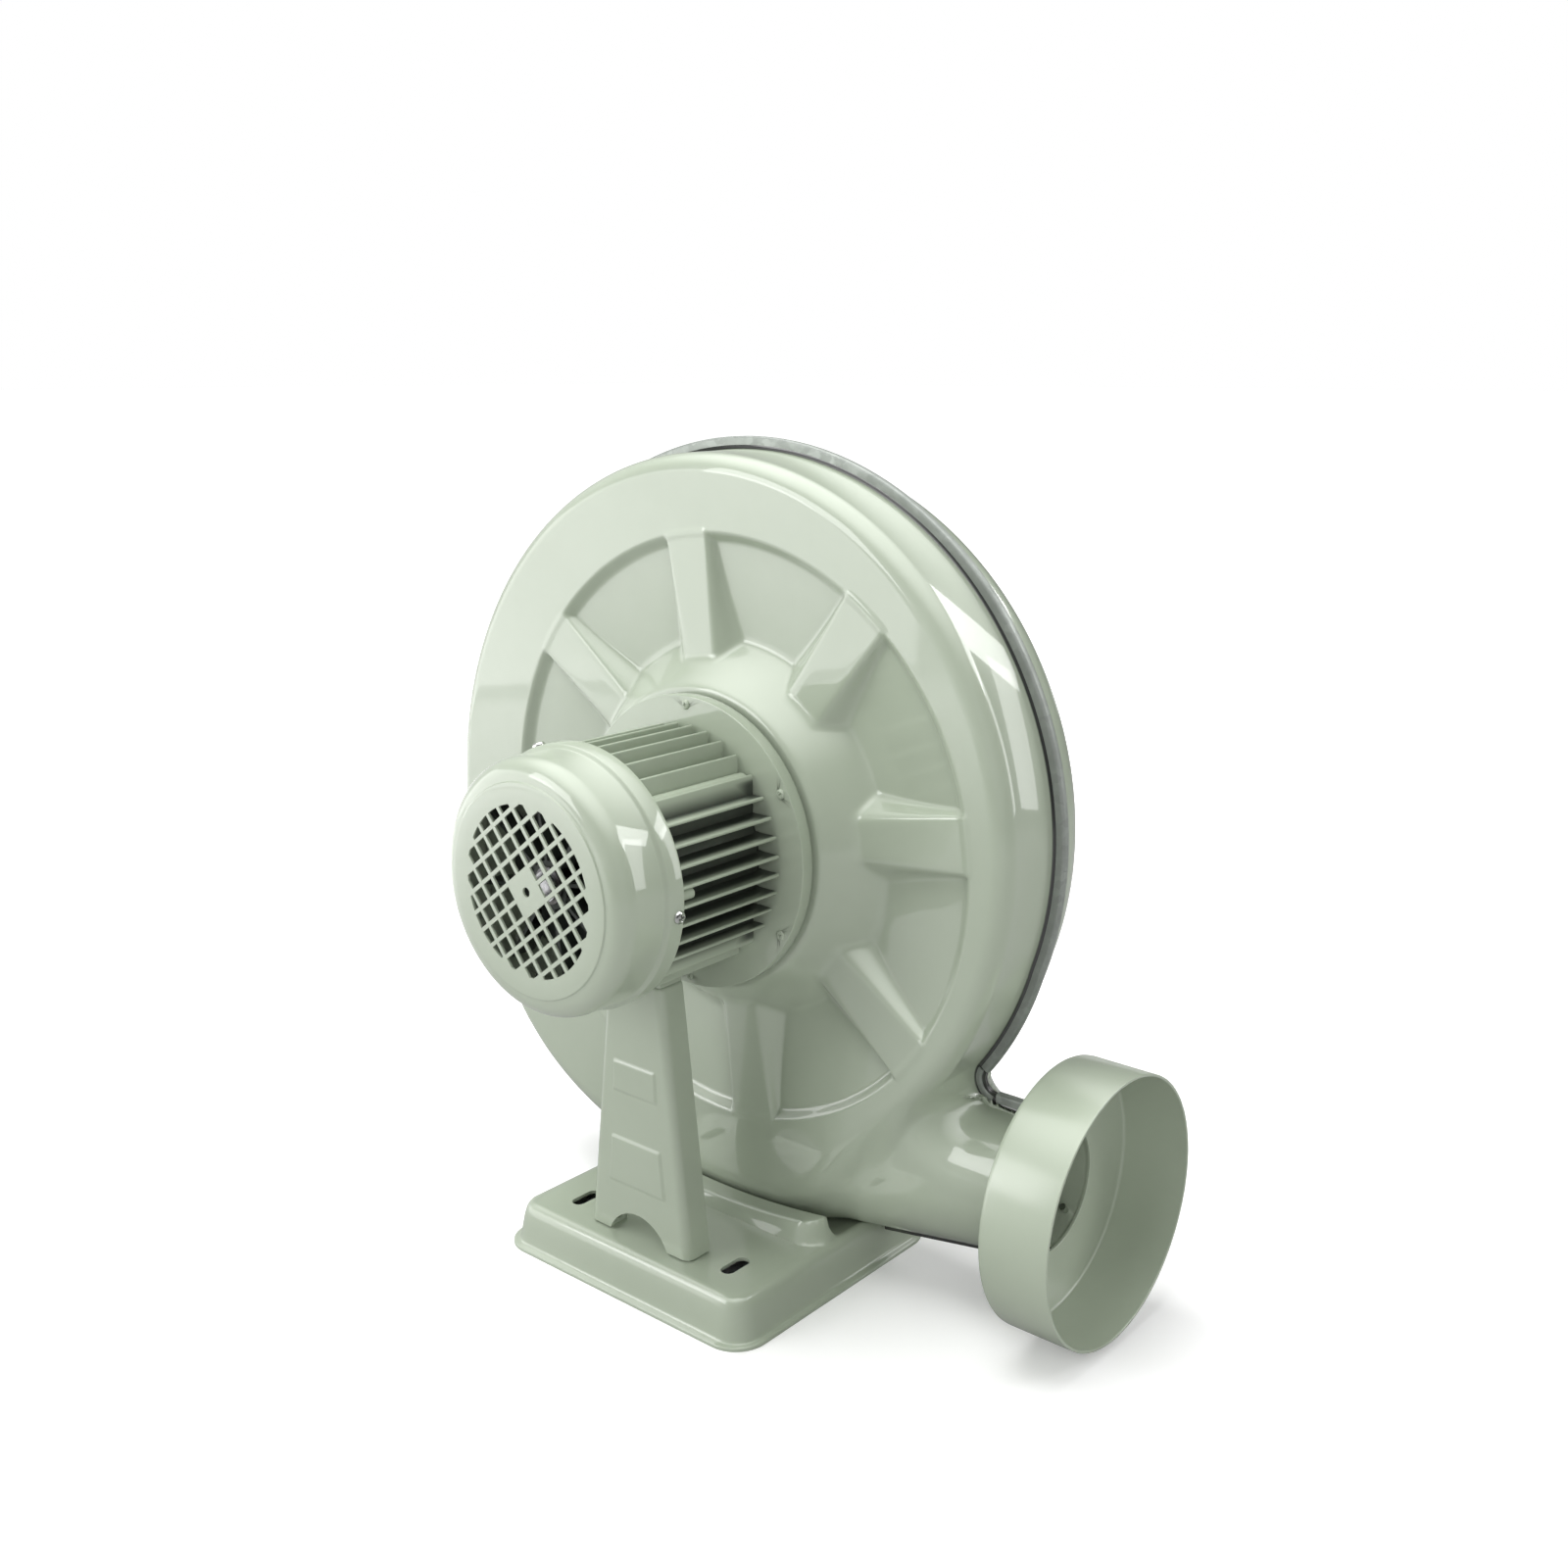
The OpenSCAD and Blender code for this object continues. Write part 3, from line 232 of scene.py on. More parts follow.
def make_piece(name, verts, faces, material, smooth_angle=35, outward=False):
    """A mesh piece of the housing, shaded smooth apart from sharp edges."""
    mesh = bpy.data.meshes.new(name)
    mesh.from_pydata([tuple(v) for v in verts], [], faces)
    mesh.validate()
    if outward:
        shell = bmesh.new()
        shell.from_mesh(mesh)
        bmesh.ops.recalc_face_normals(shell, faces=shell.faces)
        shell.to_mesh(mesh)
        shell.free()
    mesh.shade_smooth()
    mesh.set_sharp_from_angle(angle=math.radians(smooth_angle))
    mesh.materials.append(material)
    piece = in_scene(name, mesh)
    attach(piece, "housing")
    return piece


def lofted(forms, closed=True, looped=False, ends=(True, True)):
    """Points and faces of forms, each of rows of points that are joined one to the next."""
    verts, faces = [], []
    for rows in forms:
        count = len(rows[0])
        starts = [len(verts) + count * j for j in range(len(rows))]
        for low, high in zip(starts, starts[1:] + starts[:looped]):
            faces += [(low + i, low + (i + 1) % count, high + (i + 1) % count, high + i)
                      for i in range(count if closed else count - 1)]
        if ends[0]:
            faces.append([starts[0] + i for i in range(count)][::-1])
        if ends[1]:
            faces.append([starts[-1] + i for i in range(count)])
        verts += [point for row in rows for point in row]
    return verts, faces


def arc(r, turns, middle=(0, 0)):
    """Points of a round outline at these angles in degrees."""
    return [(middle[0] + r * math.cos(t), middle[1] + r * math.sin(t)) for t in np.radians(turns)]


def prisms(outlines, lift):
    """Closed prisms from flat outlines: lift gives the lower and the upper point of a corner."""
    return lofted([[[lift(a, b)[end] for a, b in outline] for end in (0, 1)] for outline in outlines])


def modify(piece, name, kind, **settings):
    """The piece with one more modifier."""
    modifier = piece.modifiers.new(name, kind)
    for label, value in settings.items():
        setattr(modifier, label, value)
    return piece


def thicken(piece, thickness):
    """Gives a pressed sheet its thickness, on the side away from its face."""
    return modify(piece, "sheet", "SOLIDIFY", thickness=thickness, offset=-1)


def carve(piece, verts, faces, smooth_angle=35):
    """Cuts closed prisms out of a piece, for good, with the piece's own modifiers applied first."""
    tool_mesh = bpy.data.meshes.new("tool")
    tool_mesh.from_pydata(verts, [], faces)
    tool = in_scene("tool", tool_mesh)
    modify(piece, "cut", "BOOLEAN", operation="DIFFERENCE", solver="EXACT", object=tool)
    bpy.context.view_layer.update()
    seen = piece.evaluated_get(bpy.context.evaluated_depsgraph_get())
    mesh = bpy.data.meshes.new_from_object(seen)
    piece.modifiers.clear()
    piece.data = mesh
    mesh.set_sharp_from_angle(angle=math.radians(smooth_angle))
    bpy.data.objects.remove(tool)


def smoothstep(low, high, x):
    """An even ease from 0 at low to 1 at high."""
    t = np.clip((x - low) / (high - low), 0, 1)
    return t * t * (3 - 2 * t)


flange_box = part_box("motor_flange")
shaft_z = (flange_box[0].z + flange_box[1].z) / 2
casing_y = 56.5 * MM
seam_y = 101.5 * MM
back_y = 140 * MM
scroll_r0 = 190 * MM
scroll_rate = 0.223 * MM
grow_from = -15
grow_to = 222
scroll_max = scroll_r0 + scroll_rate * (grow_to - grow_from)
front_round = 11 * MM
back_round = 24 * MM
tube_r = 38 * MM
floor_rise = 9.9
rise = math.radians(floor_rise)
duct_start = ((scroll_max - tube_r) * math.sin(rise), shaft_z - (scroll_max - tube_r) * math.cos(rise))
no_casing = 1.0


def casing_floor(x, y, gap):
    """Height of the underside of the casing, with a gap, over a point of the base."""
    radius = scroll_max + gap
    for past, edge_round in ((casing_y - y, front_round), (y - back_y, back_round)):
        share = np.clip((past + edge_round) / (edge_round + gap), 0, 1)
        radius = radius - (edge_round + gap) * (1 - np.sqrt(1 - share**2))
    drum = shaft_z - np.sqrt(np.maximum(radius**2 - x**2, 0))
    drum = np.where((y > casing_y - gap) & (y < back_y + gap), drum, no_casing)
    across = np.clip(np.abs(y - seam_y) / (tube_r + gap), 0, 1)
    belly = (tube_r + gap) * np.sqrt(1 - across**2) / math.cos(rise)
    tube = duct_start[1] + (x - duct_start[0]) * math.tan(rise) - belly
    tube = np.where((across < 1) & (x > duct_start[0]), tube, no_casing)
    return np.minimum(drum, tube)


base_low, base_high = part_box("base_plate")
base_t = 2 * MM
tray_top = 26 * MM
saddle_gap = 0.3 * MM
saddle_half = 85 * MM
saddle_from = 39.5 * MM
saddle_to = 124 * MM
saddle_corner = 16 * MM
saddle_lift = 7.5 * MM
press_run = 4.5 * MM
corner_r = 20 * MM
strip_room = 3.75 * MM
strip_depth = 8.8 * MM
grid_step = 1.6 * MM
edge_in = np.array([0, 0.02, 0.5, 2.9, 3.6, 4.2, 5.2, 6.4, 7.4, 8.3, 9.3, 10.6, 12.2, 14.5]) * MM
edge_up = np.array([0, 1.6, 2.1, 2.2, 2.7, 4.2, 9.0, 15.0, 19.0, 21.8, 23.8, 25.2, 25.85, 26]) * MM


def tray_lines(half, extra=()):
    """Grid lines across the tray: the pressed edge at both ends and even steps between."""
    inner = half - edge_in[-1]
    even = np.linspace(-inner, inner, int(2 * inner / grid_step) + 1)[1:-1]
    even = [v for v in even if all(abs(v - e) > 0.4 * grid_step for e in extra)]
    return np.array(sorted([*(edge_in - half), *even, *extra, *(half - edge_in)]))


base_mid = (base_low + base_high) / 2
base_half = (base_high - base_low) / 2
seam_lines = (seam_y - base_mid.y - strip_room, seam_y - base_mid.y + strip_room)
grids = np.meshgrid(tray_lines(base_half.x), tray_lines(base_half.y, seam_lines), indexing="ij")
edge_d = np.minimum(base_half.x - np.abs(grids[0]), base_half.y - np.abs(grids[1]))
past = [np.abs(grid) - (half - corner_r) for grid, half in zip(grids, base_half)]
in_corner = (past[0] > 0) & (past[1] > 0)
pull = np.where(in_corner, np.maximum(*past) / np.maximum(np.hypot(*past), 1e-9), 1)
x, y = (np.where(in_corner, np.sign(grid) * (half - corner_r + over * pull), grid) + mid
        for grid, half, over, mid in zip(grids, base_half, past, base_mid))

away_x = np.abs(x) - (saddle_half - saddle_corner)
away_y = np.abs(y - (saddle_from + saddle_to) / 2) - ((saddle_to - saddle_from) / 2 - saddle_corner)
inside = saddle_corner - np.hypot(np.maximum(away_x, 0), np.maximum(away_y, 0)) - np.minimum(
    np.maximum(away_x, away_y), 0)
height = np.interp(edge_d, edge_in, edge_up)
height = height + (saddle_lift + x**2) * smoothstep(0, press_run, inside)
height = np.minimum(height, casing_floor(x, y, saddle_gap))

cols = x.shape[1]
verts = np.column_stack([x.ravel(), y.ravel(), height.ravel()])
strip_top = shaft_z - np.sqrt(np.maximum((scroll_max + strip_depth) ** 2 - x**2, 0))
slit = ((np.abs(y - seam_y) < strip_room * 1.01) & (strip_top < height)).ravel()
quads = [(n, n + cols, n + cols + 1, n + 1) for n in range(len(verts) - cols) if (n + 1) % cols]
faces = [quad for quad in quads if not all(slit[n] for n in quad)]
base_enamel = enamel_material("base_enamel", roughness=0.36, coat=0.8, peel=0.00004)
base_plate = thicken(make_piece("tray_base", verts, faces, base_enamel, 50), base_t)

slot_x = 60.5 * MM
slot_half = 5.75 * MM
slot_r = 4.25 * MM
slots = [arc(slot_r, np.linspace(0, 180, 17), (at, slot_half))
         + arc(slot_r, np.linspace(180, 360, 17), (at, -slot_half)) for at in (-slot_x, slot_x)]
carve(base_plate, *prisms(slots, lambda a, b: ((a, b, 0.01), (a, b, 0.04))), smooth_angle=50)
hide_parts("base_plate")


# Support leg
# A tapered channel pressed from 2.5 mm steel sheet, open to the back, with two embossed
# panels, an arched foot and two turned-in tabs, screwed to the tray and to the motor's pad.
leg_low, leg_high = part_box("support_leg")
leg_t = 2.5 * MM
leg_front = -16 * MM
leg_back = leg_high.y
leg_edge = 5 * MM
leg_lip = 1.6 * MM
foot_half = leg_high.x
top_half = 21 * MM
emboss = 1.0 * MM
lower_panel = (59 * MM, 22 * MM, 87 * MM, 19 * MM)
upper_panel = (116 * MM, 17 * MM, 134 * MM, 16 * MM)


def panel_mask(x, z, panel):
    """1 on an embossed panel and 0 off it, with a soft pressed edge."""
    z0, half0, z1, half1 = panel
    soft = 0.9 * MM
    half = half0 + (half1 - half0) * (z - z0) / (z1 - z0)
    return (smoothstep(-soft, soft, half - np.abs(x)) * smoothstep(-soft, soft, z - z0)
            * smoothstep(-soft, soft, z1 - z))


levels = [(z, 0.0) for z in np.linspace(leg_low.z + 0.9 * MM, leg_high.z - leg_lip, 190)]
for turn in np.radians((30, 60, 90)):
    levels.append((leg_high.z - leg_lip * (1 - math.sin(turn)), leg_lip * (1 - math.cos(turn))))
leg_rows = []
for z, inset in levels:
    share = (z - leg_low.z) / (leg_high.z - leg_low.z)
    half = foot_half + (top_half - foot_half) * share - inset
    front = leg_front + inset
    left = [(-half, leg_back), (-half, front + leg_edge + 3 * MM)]
    left += arc(leg_edge, np.linspace(180, 270, 8), (-half + leg_edge, front + leg_edge))
    flat = [(v, front) for v in np.linspace(-half + leg_edge, half - leg_edge, 90)[1:-1]]
    right = [(-px, py) for px, py in left[::-1]]
    across, depth = np.array(left + flat + right).T
    raised = emboss * np.maximum(panel_mask(across, z, lower_panel), panel_mask(across, z, upper_panel))
    leg_rows.append(np.column_stack([across, depth - raised, np.full(len(across), z)]))
leg_enamel = enamel_material("leg_enamel", roughness=0.4, coat=0.7, peel=0.00004)
leg_mesh = lofted([leg_rows], closed=False, ends=(False, True))
leg = thicken(make_piece("leg_channel", *leg_mesh, leg_enamel, 50), leg_t)

arch_r = 24.5 * MM
arch_z = tray_top + 16 * MM - arch_r
arch = arc(arch_r, np.arange(0, 360, 5), (0, arch_z))
carve(leg, *prisms([arch], lambda a, b: ((a, 0.01, b), (a, leg_front - 0.01, b))), smooth_angle=50)
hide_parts("support_leg")

tab_in = 24.5 * MM
tab_out = foot_half - 1.5 * MM
tabs = [[(s * tab_in, leg_front + leg_t), (s * tab_out, leg_front + leg_t), (s * tab_out, leg_back),
         (s * (tab_in + 3 * MM), leg_back), (s * tab_in, leg_back - 3 * MM)] for s in (-1, 1)]
tab_mesh = prisms(tabs, lambda a, b: ((a, b, tray_top + 0.05 * MM), (a, b, tray_top + leg_t)))
leg_tabs = make_piece("leg_tabs", *tab_mesh, leg_enamel, outward=True)


# Leg and saddle fasteners
# Zinc-plated hexagon screws and nuts: two through the leg's tabs, two up into the motor's
# pad, and four with nuts that clamp the casing to the saddle.


def plating_group():
    """Faint rainbow drift and wiping marks of bright zinc plating or bare metal."""
    tree, into, out = group_tree("plating", {
        "Color": (1, 1, 1, 1), "Tint": (1, 1, 1, 1), "Roughness": 0.3, "Scale": 150.0,
    }, ["Color", "Roughness", "Height"])
    clouds = noise(into["Vector"], into["Scale"], 4.0, 0.6)
    feed(tree, out["Color"], mix_color(ramp(clouds, 0.3, 0.7), into["Color"], into["Tint"]))
    feed(tree, out["Roughness"], into["Roughness"] + (clouds - 0.5) * 0.25)
    feed(tree, out["Height"], noise(into["Vector"], 900.0, 2.0))
    return tree


PLATING = plating_group()


def metal_material(name, color, tint, roughness, scale=150.0, marks=0.00001):
    """Bare or plated metal with a drift of tone and faint tool marks."""
    material, tree = new_material(name, Metallic=1.0)
    tone = effect(PLATING, place(tree), Color=color, Tint=tint, Roughness=roughness, Scale=scale)
    return wired(material, tone, tone["Height"], marks)


def dress(node, material, bevel=0.0):
    """Gives a CAD node its finish, and rounds its edges a little where bevel is set."""
    piece = nodes[node]
    piece.data.materials.clear()
    piece.data.materials.append(material)
    if bevel:
        modify(piece, "weld", "WELD", merge_threshold=0.00001)
        modify(piece, "edge", "BEVEL", width=bevel, segments=2, limit_method="ANGLE",
               angle_limit=math.radians(35), use_clamp_overlap=True)


bright_zinc = metal_material("bright_zinc", (0.62, 0.63, 0.64, 1), (0.55, 0.56, 0.52, 1), 0.28)
for name in ("leg_foot_screws", "leg_top_screws", "saddle_bolts"):
    dress(name, bright_zinc, 0.25 * MM)


# Front casing shell
# Deep-drawn sheet steel: a scroll drum with a flat rim, a sunken floor with eight radial
# ribs and a hub cone that carries the motor, drawn in one with half of the outlet tube.
# The ribs keep the level of the rim, so their sides deepen towards the cone.
hub_y = flange_box[1].y
collar_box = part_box("outlet_collar")
sleeve_x = collar_box[0].x
sleeve_len = 14 * MM
tube_end = sleeve_x + sleeve_len
tube_z = (collar_box[0].z + collar_box[1].z) / 2
tube_top = tube_z + tube_r
tube_round = 26 * MM
notch_r = 14 * MM
notch_z = tube_top + notch_r
notch_x = math.sqrt((scroll_r0 + notch_r) ** 2 - (shaft_z - notch_z) ** 2)
notch_a = -math.degrees(math.atan2(shaft_z - notch_z, notch_x))
tangent_a = 270 + floor_rise
notch_turn = 360 + notch_a
duct_from = tangent_a - 8
seam_w = 6.5 * MM
sheet = 1.5 * MM
bend = 1.5 * MM
crease_slope = 2.5
duct_blend = 6 * MM
fold_blend = 8 * MM
fold_run = 14 * MM
widen_over = (225, 265)
narrow_over = (296, 318)
scroll_points, floor_points, mouth_points, top_points, notch_points = 640, 72, 64, 40, 34
flange_rows, round_rows, face_rows = 4, 21, 25
least_lean = 0.35
ease_over = 31


def scroll_r(a):
    """Wall radius of the scroll at an angle in degrees."""
    return scroll_r0 + scroll_rate * (np.clip(a, grow_from, grow_to) - grow_from)


def soft_min(a, b, blend):
    """The smaller of two values, with a rounded change over a blend."""
    h = np.clip(0.5 + 0.5 * (b - a) / blend, 0, 1)
    return b * (1 - h) + a * h - blend * h * (1 - h)


def arc_depth(d, radius):
    """How far a rounded edge falls back at distance d inside the wall."""
    d = np.clip(d, 0, radius)
    return radius - np.sqrt(np.maximum(radius**2 - (radius - d) ** 2, 0))


def casing_edge():
    """Points, outward normals, kinds and turns of the casing outline, from the notch round the scroll."""
    turns = np.linspace(notch_a, tangent_a, scroll_points)
    out = np.column_stack([np.cos(np.radians(turns)), np.sin(np.radians(turns))])
    scroll = out * scroll_r(turns)[:, None] + (0, shaft_z)
    low = np.array([tube_end, tube_z - tube_r])
    floor = scroll[-1] + (low - scroll[-1]) * np.linspace(0, 1, floor_points)[1:, None]
    up = tube_r * (1 - np.cos(math.pi * np.linspace(0, 1, mouth_points)[1:]))
    mouth = low + np.column_stack([0 * up, up])
    along = np.linspace(tube_end, notch_x, top_points)[1:]
    top = np.column_stack([along, np.full(len(along), tube_top)])
    b = np.radians(270 - np.linspace(0, 1, notch_points)[1:-1] * (90 - notch_a))
    hollow = -np.column_stack([np.cos(b), np.sin(b)])
    notch = (notch_x, notch_z) - hollow * notch_r
    stretches = (("scroll", scroll, out), ("floor", floor, out[-1]), ("mouth", mouth, (1, 0)),
                 ("top", top, (0, 1)), ("notch", notch, hollow))
    spots = np.concatenate([points for _, points, _ in stretches])
    outs = np.concatenate([np.broadcast_to(normals, points.shape) for _, points, normals in stretches])
    kinds = np.concatenate([[kind] * len(points) for kind, points, _ in stretches])
    later = np.linspace(tangent_a, notch_turn, len(spots) - len(turns) + 2)[1:-1]
    return spots, outs, kinds, np.concatenate([turns, later])


edge_at, edge_out, edge_kind, edge_turn = casing_edge()


def duct_depth(x, z, reach):
    """How far the round duct falls back from its own crest plane at a point."""
    t = math.radians(tangent_a)
    from_floor = scroll_max - (x * math.cos(t) + (z - shaft_z) * math.sin(t))
    from_notch = np.hypot(x - notch_x, z - notch_z) - notch_r
    from_top = np.where(x > notch_x, tube_top - z, from_notch)
    return arc_depth(np.minimum(from_floor, from_top), reach)


def drum_radius(turn):
    """Radius where the flat rim ends: the scroll wall, or the crease that runs across the duct."""
    across = smoothstep(tangent_a, notch_turn - 4, turn)
    return np.where(turn < tangent_a, scroll_r(turn), scroll_max + (scroll_r0 - scroll_max) * across)


def rounding_at(turn, edge_round, low_round):
    """Rounding of the wall's edge at an angle, which widens on the low side of the scroll."""
    return edge_round + (low_round - edge_round) * (
        smoothstep(*widen_over, turn) * (1 - smoothstep(*narrow_over, turn)))


def casing_height(x, z, turn, depth, edge_round, low_round):
    """Distance of the pressed surface behind the flat rim, for a shell of that depth."""
    rounding = rounding_at(turn, edge_round, low_round)
    inside = drum_radius(turn) - np.hypot(x, z - shaft_z)
    knee = rounding * (1 - math.sin(math.atan(crease_slope)))
    drum, eased_drum = (
        arc_depth(np.maximum(inside, low), rounding) + np.maximum(low - inside, 0) * crease_slope
        for low in (0, knee))
    over_duct = smoothstep(duct_from, duct_from + 20, turn)
    over_duct = over_duct * (1 - smoothstep(notch_turn - 3, notch_turn, turn))
    drum = drum + (eased_drum - drum) * over_duct
    duct = depth - tube_r + duct_depth(x, z, tube_r)
    blend = duct_blend + fold_blend * (1 - smoothstep(0, fold_run, inside))
    return np.where(turn > duct_from, soft_min(drum, duct, blend), drum)


def shell_rows(shape, inner_r, side, face_y, radii, relief):
    """Rows of points from the seam flange up the wall and over the rim to the inner radius."""
    depth, *rounds = shape
    is_mouth = edge_kind == "mouth"
    sleeved = (edge_at[:, 0] > sleeve_x - 0.5 * MM) & np.isin(edge_kind, ("floor", "top"))
    rows = []

    def add_row(spot, y):
        rows.append(np.column_stack([spot[:, 0], np.broadcast_to(y, len(spot)), spot[:, 1]]))

    for out, back in ((seam_w, 0.0), (bend * 1.6, 0.0), (bend * 0.6, bend * 0.25), (0.0, bend)):
        add_row(edge_at + edge_out * out, seam_y - side * (sheet + back))
    round_out = np.column_stack([np.cos(np.radians(edge_turn)), np.sin(np.radians(edge_turn))])
    path = inner_r * round_out + (0, shaft_z) - edge_at
    length = np.hypot(*path.T)
    along = path / length[:, None]
    lean = np.maximum(-(along * edge_out).sum(1), least_lean)
    is_tube = np.isin(edge_kind, ("floor", "top", "notch"))
    first = np.where(is_tube, tube_round, rounding_at(edge_turn, *rounds))
    first = np.minimum(first / lean, length * 0.6)
    column = np.arange(len(edge_at))
    first = np.interp(column, column[~is_mouth], first[~is_mouth])
    window = np.hanning(ease_over)
    first = np.convolve(np.pad(first, len(window) // 2, mode="wrap"), window / window.sum(), "valid")
    steps = [first * (1 - math.cos(f)) for f in np.radians(np.linspace(0, 90, round_rows))]
    steps += [first + (length - first) * f for f in np.linspace(0, 1, face_rows)[1:]]
    for step in steps:
        spot = edge_at + along * step[:, None]
        turn = np.degrees(np.arctan2(spot[:, 1] - shaft_z, spot[:, 0]))
        turn = np.where(turn < notch_a - 0.01, turn + 360, turn)
        turn = np.where((edge_turn > tangent_a - 2) & (turn < 200), turn + 360, turn)
        fall = casing_height(spot[:, 0], spot[:, 1], turn, depth, *rounds)
        add_row(spot, face_y + side * np.minimum(fall, depth - sheet - bend))
    for r in radii:
        add_row(r * round_out + (0, shaft_z), face_y + side * relief(r, edge_turn))
    return rows, is_mouth | sleeved


def shell_piece(name, rows, no_flange, flip, material):
    """Joins the rows into a sheet, without the flange where that is left out, and thickens it."""
    verts, faces = lofted([rows], ends=(False, False))
    cols = len(rows[0])
    bare = no_flange & np.roll(no_flange, -1)
    faces = [face for n, face in enumerate(faces) if n >= flange_rows * cols or not bare[n % cols]]
    if flip:
        faces = [face[::-1] for face in faces]
    return thicken(make_piece(name, verts, faces, material, 60), sheet)


def through(first, *stops):
    """Radii from the first one on, past stops of (radius, number of values)."""
    radii = []
    for stop, count in stops:
        radii += list(np.linspace(first, stop, count)[1:])
        first = stop
    return radii


def axes(vector):
    """The X, Y and Z values of a vector."""
    split = new_node(vector.tree, "ShaderNodeSeparateXYZ", {0: vector}).socket.node
    return [Value(vector.tree, socket) for socket in split.outputs]


def paint_shade(material, mask, color):
    """Paints shade: mixes a dark colour over a material where a mask of the place is 1."""
    tree = material.node_tree
    socket = tree.nodes["Principled BSDF"].inputs["Base Color"]
    painted = Value(tree, socket.links[0].from_socket)
    feed(tree, socket, mix_color(mask(*axes(place(tree))), painted, color))


def seam_gap_shade(_x, y, _z):
    """1 on the painted shade, a near-black band under the lips of the seam strip."""
    return 1.0 - ramp(abs(y - seam_y), 2.2 * MM, 3.0 * MM)


casing_enamel = enamel_material("casing_enamel")
# Painted shade: a near-black band on the casing enamel along the seam, where the strip's lips meet the wall.
paint_shade(casing_enamel, seam_gap_shade, (0.02, 0.022, 0.02, 1))

rib_count = 8
rib_turn = 8
rib_from = 98 * MM
rib_run = 74 * MM
rib_height = 14 * MM
rib_soft = 2.4 * MM
rib_top = (12.5 * MM, 16 * MM)
rib_foot = (26 * MM, 19 * MM)
step_r = 171 * MM
rim_r = step_r + 5 * MM
cone_foot_r = 110 * MM
cone_top_r = 89 * MM
floor_depth = 5 * MM
cone_depth = 12 * MM
front_hole_r = 46 * MM


def profile_depth(r):
    """Depth of the pressed face behind the rim along a radius, with softened corners."""
    points_r = np.array([0, cone_top_r - 2 * MM, cone_top_r, cone_foot_r - 3 * MM, cone_foot_r,
                         step_r - 5 * MM, step_r, step_r + 60 * MM])
    points_d = np.array([hub_y, hub_y, hub_y + 2 * MM, casing_y + cone_depth - 4 * MM,
                         casing_y + cone_depth, casing_y + floor_depth, casing_y, casing_y]) - casing_y
    spread = np.linspace(-2, 2, 9)
    weight = np.exp(-(spread**2) / 1.2)
    soft = np.where(r < 100 * MM, 1.3 * MM, np.where(r < 135 * MM, 2.6 * MM, 1.0 * MM))
    depths = [np.interp(r + s * soft, points_r, points_d) for s in spread]
    return np.dot(weight, depths) / weight.sum()


def front_relief(r, turn):
    """Depth of the front face inside the rim: sunken floor, cone and ribs."""
    pitch = 360 / rib_count
    off = np.radians((turn - rib_turn + pitch / 2) % pitch - pitch / 2)
    f = np.clip((r * np.cos(off) - rib_from) / rib_run, 0, 1)
    top, foot = (at_hub + (at_rim - at_hub) * f for at_hub, at_rim in (rib_top, rib_foot))
    side = rib_height * (np.abs(r * np.sin(off)) - top) / (foot - top)
    side = rib_soft * np.logaddexp(0, side / rib_soft * 1.6) / 1.6
    fade = 1 - smoothstep(step_r - 3 * MM, step_r + 4 * MM, r)
    return soft_min(np.full(len(turn), profile_depth(r)), side, 4 * MM * fade + 0.01 * MM)


front_shape = (seam_y - casing_y, front_round, 34 * MM)
front_radii = through(
    rim_r, (step_r - 8 * MM, 16), (118 * MM, 26), (cone_top_r - 4 * MM, 28), (front_hole_r, 6))
front_rows, front_bare = shell_rows(front_shape, rim_r, 1, casing_y, front_radii, front_relief)
front_shell = shell_piece("front_casing", front_rows, front_bare, False, casing_enamel)
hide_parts("front_shell")


# Back casing shell
# The same sheet and enamel as the front half: a plain drum half with a shallow sunken
# floor round the inlet hole and the other half of the outlet tube.
back_step_r = 163 * MM
back_rim_r = back_step_r + 3 * MM
back_sink = 4 * MM
inlet_hole_r = 72 * MM


def back_relief(r, turn):
    """Depth of the back face inside its rim."""
    return np.full(len(turn), back_sink * (1 - smoothstep(back_step_r - 4 * MM, back_step_r + 2 * MM, r)))


back_radii = through(back_rim_r, (back_step_r - 6 * MM, 10), (inlet_hole_r, 16))
back_shape = (back_y - seam_y, back_round, 32 * MM)
back_rows, back_bare = shell_rows(back_shape, back_rim_r, -1, back_y, back_radii, back_relief)
back_shell = shell_piece("back_casing", back_rows, back_bare, True, casing_enamel)
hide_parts("back_shell")


# Seam strip
# A channel rolled from bare galvanised strip and hammered over the two shell flanges all
# round the scroll. Its lips stand a little off the wall; the dark line there is painted shade.
strip_reach = 6.4 * MM
strip_wall = 1.2 * MM
strip_half = 1.55 * MM


def strip_section(start, reach, wall):
    """Closed U section of the strip as (distance from the wall, place along the shaft)."""
    outer = strip_half + wall
    tip = reach + wall
    curl_r = outer * 0.6
    curl = arc(curl_r, np.linspace(-90, 0, 6), (tip - curl_r, curl_r - outer))
    hollow = [(start, strip_half), (reach, strip_half), (reach, -strip_half), (start, -strip_half)]
    return [(start, -outer)] + curl + [(k, -s) for k, s in curl[::-1]] + [(start, outer)] + hollow


def swept_strip(name, spots, outs, section, material):
    """A strip of that section, swept along the casing edge and closed at its ends."""
    rows = [[(x + nx * k, seam_y + s, z + nz * k) for k, s in section]
            for (x, z), (nx, nz) in zip(spots, outs)]
    return make_piece(name, *lofted([rows]), material, 40, outward=True)


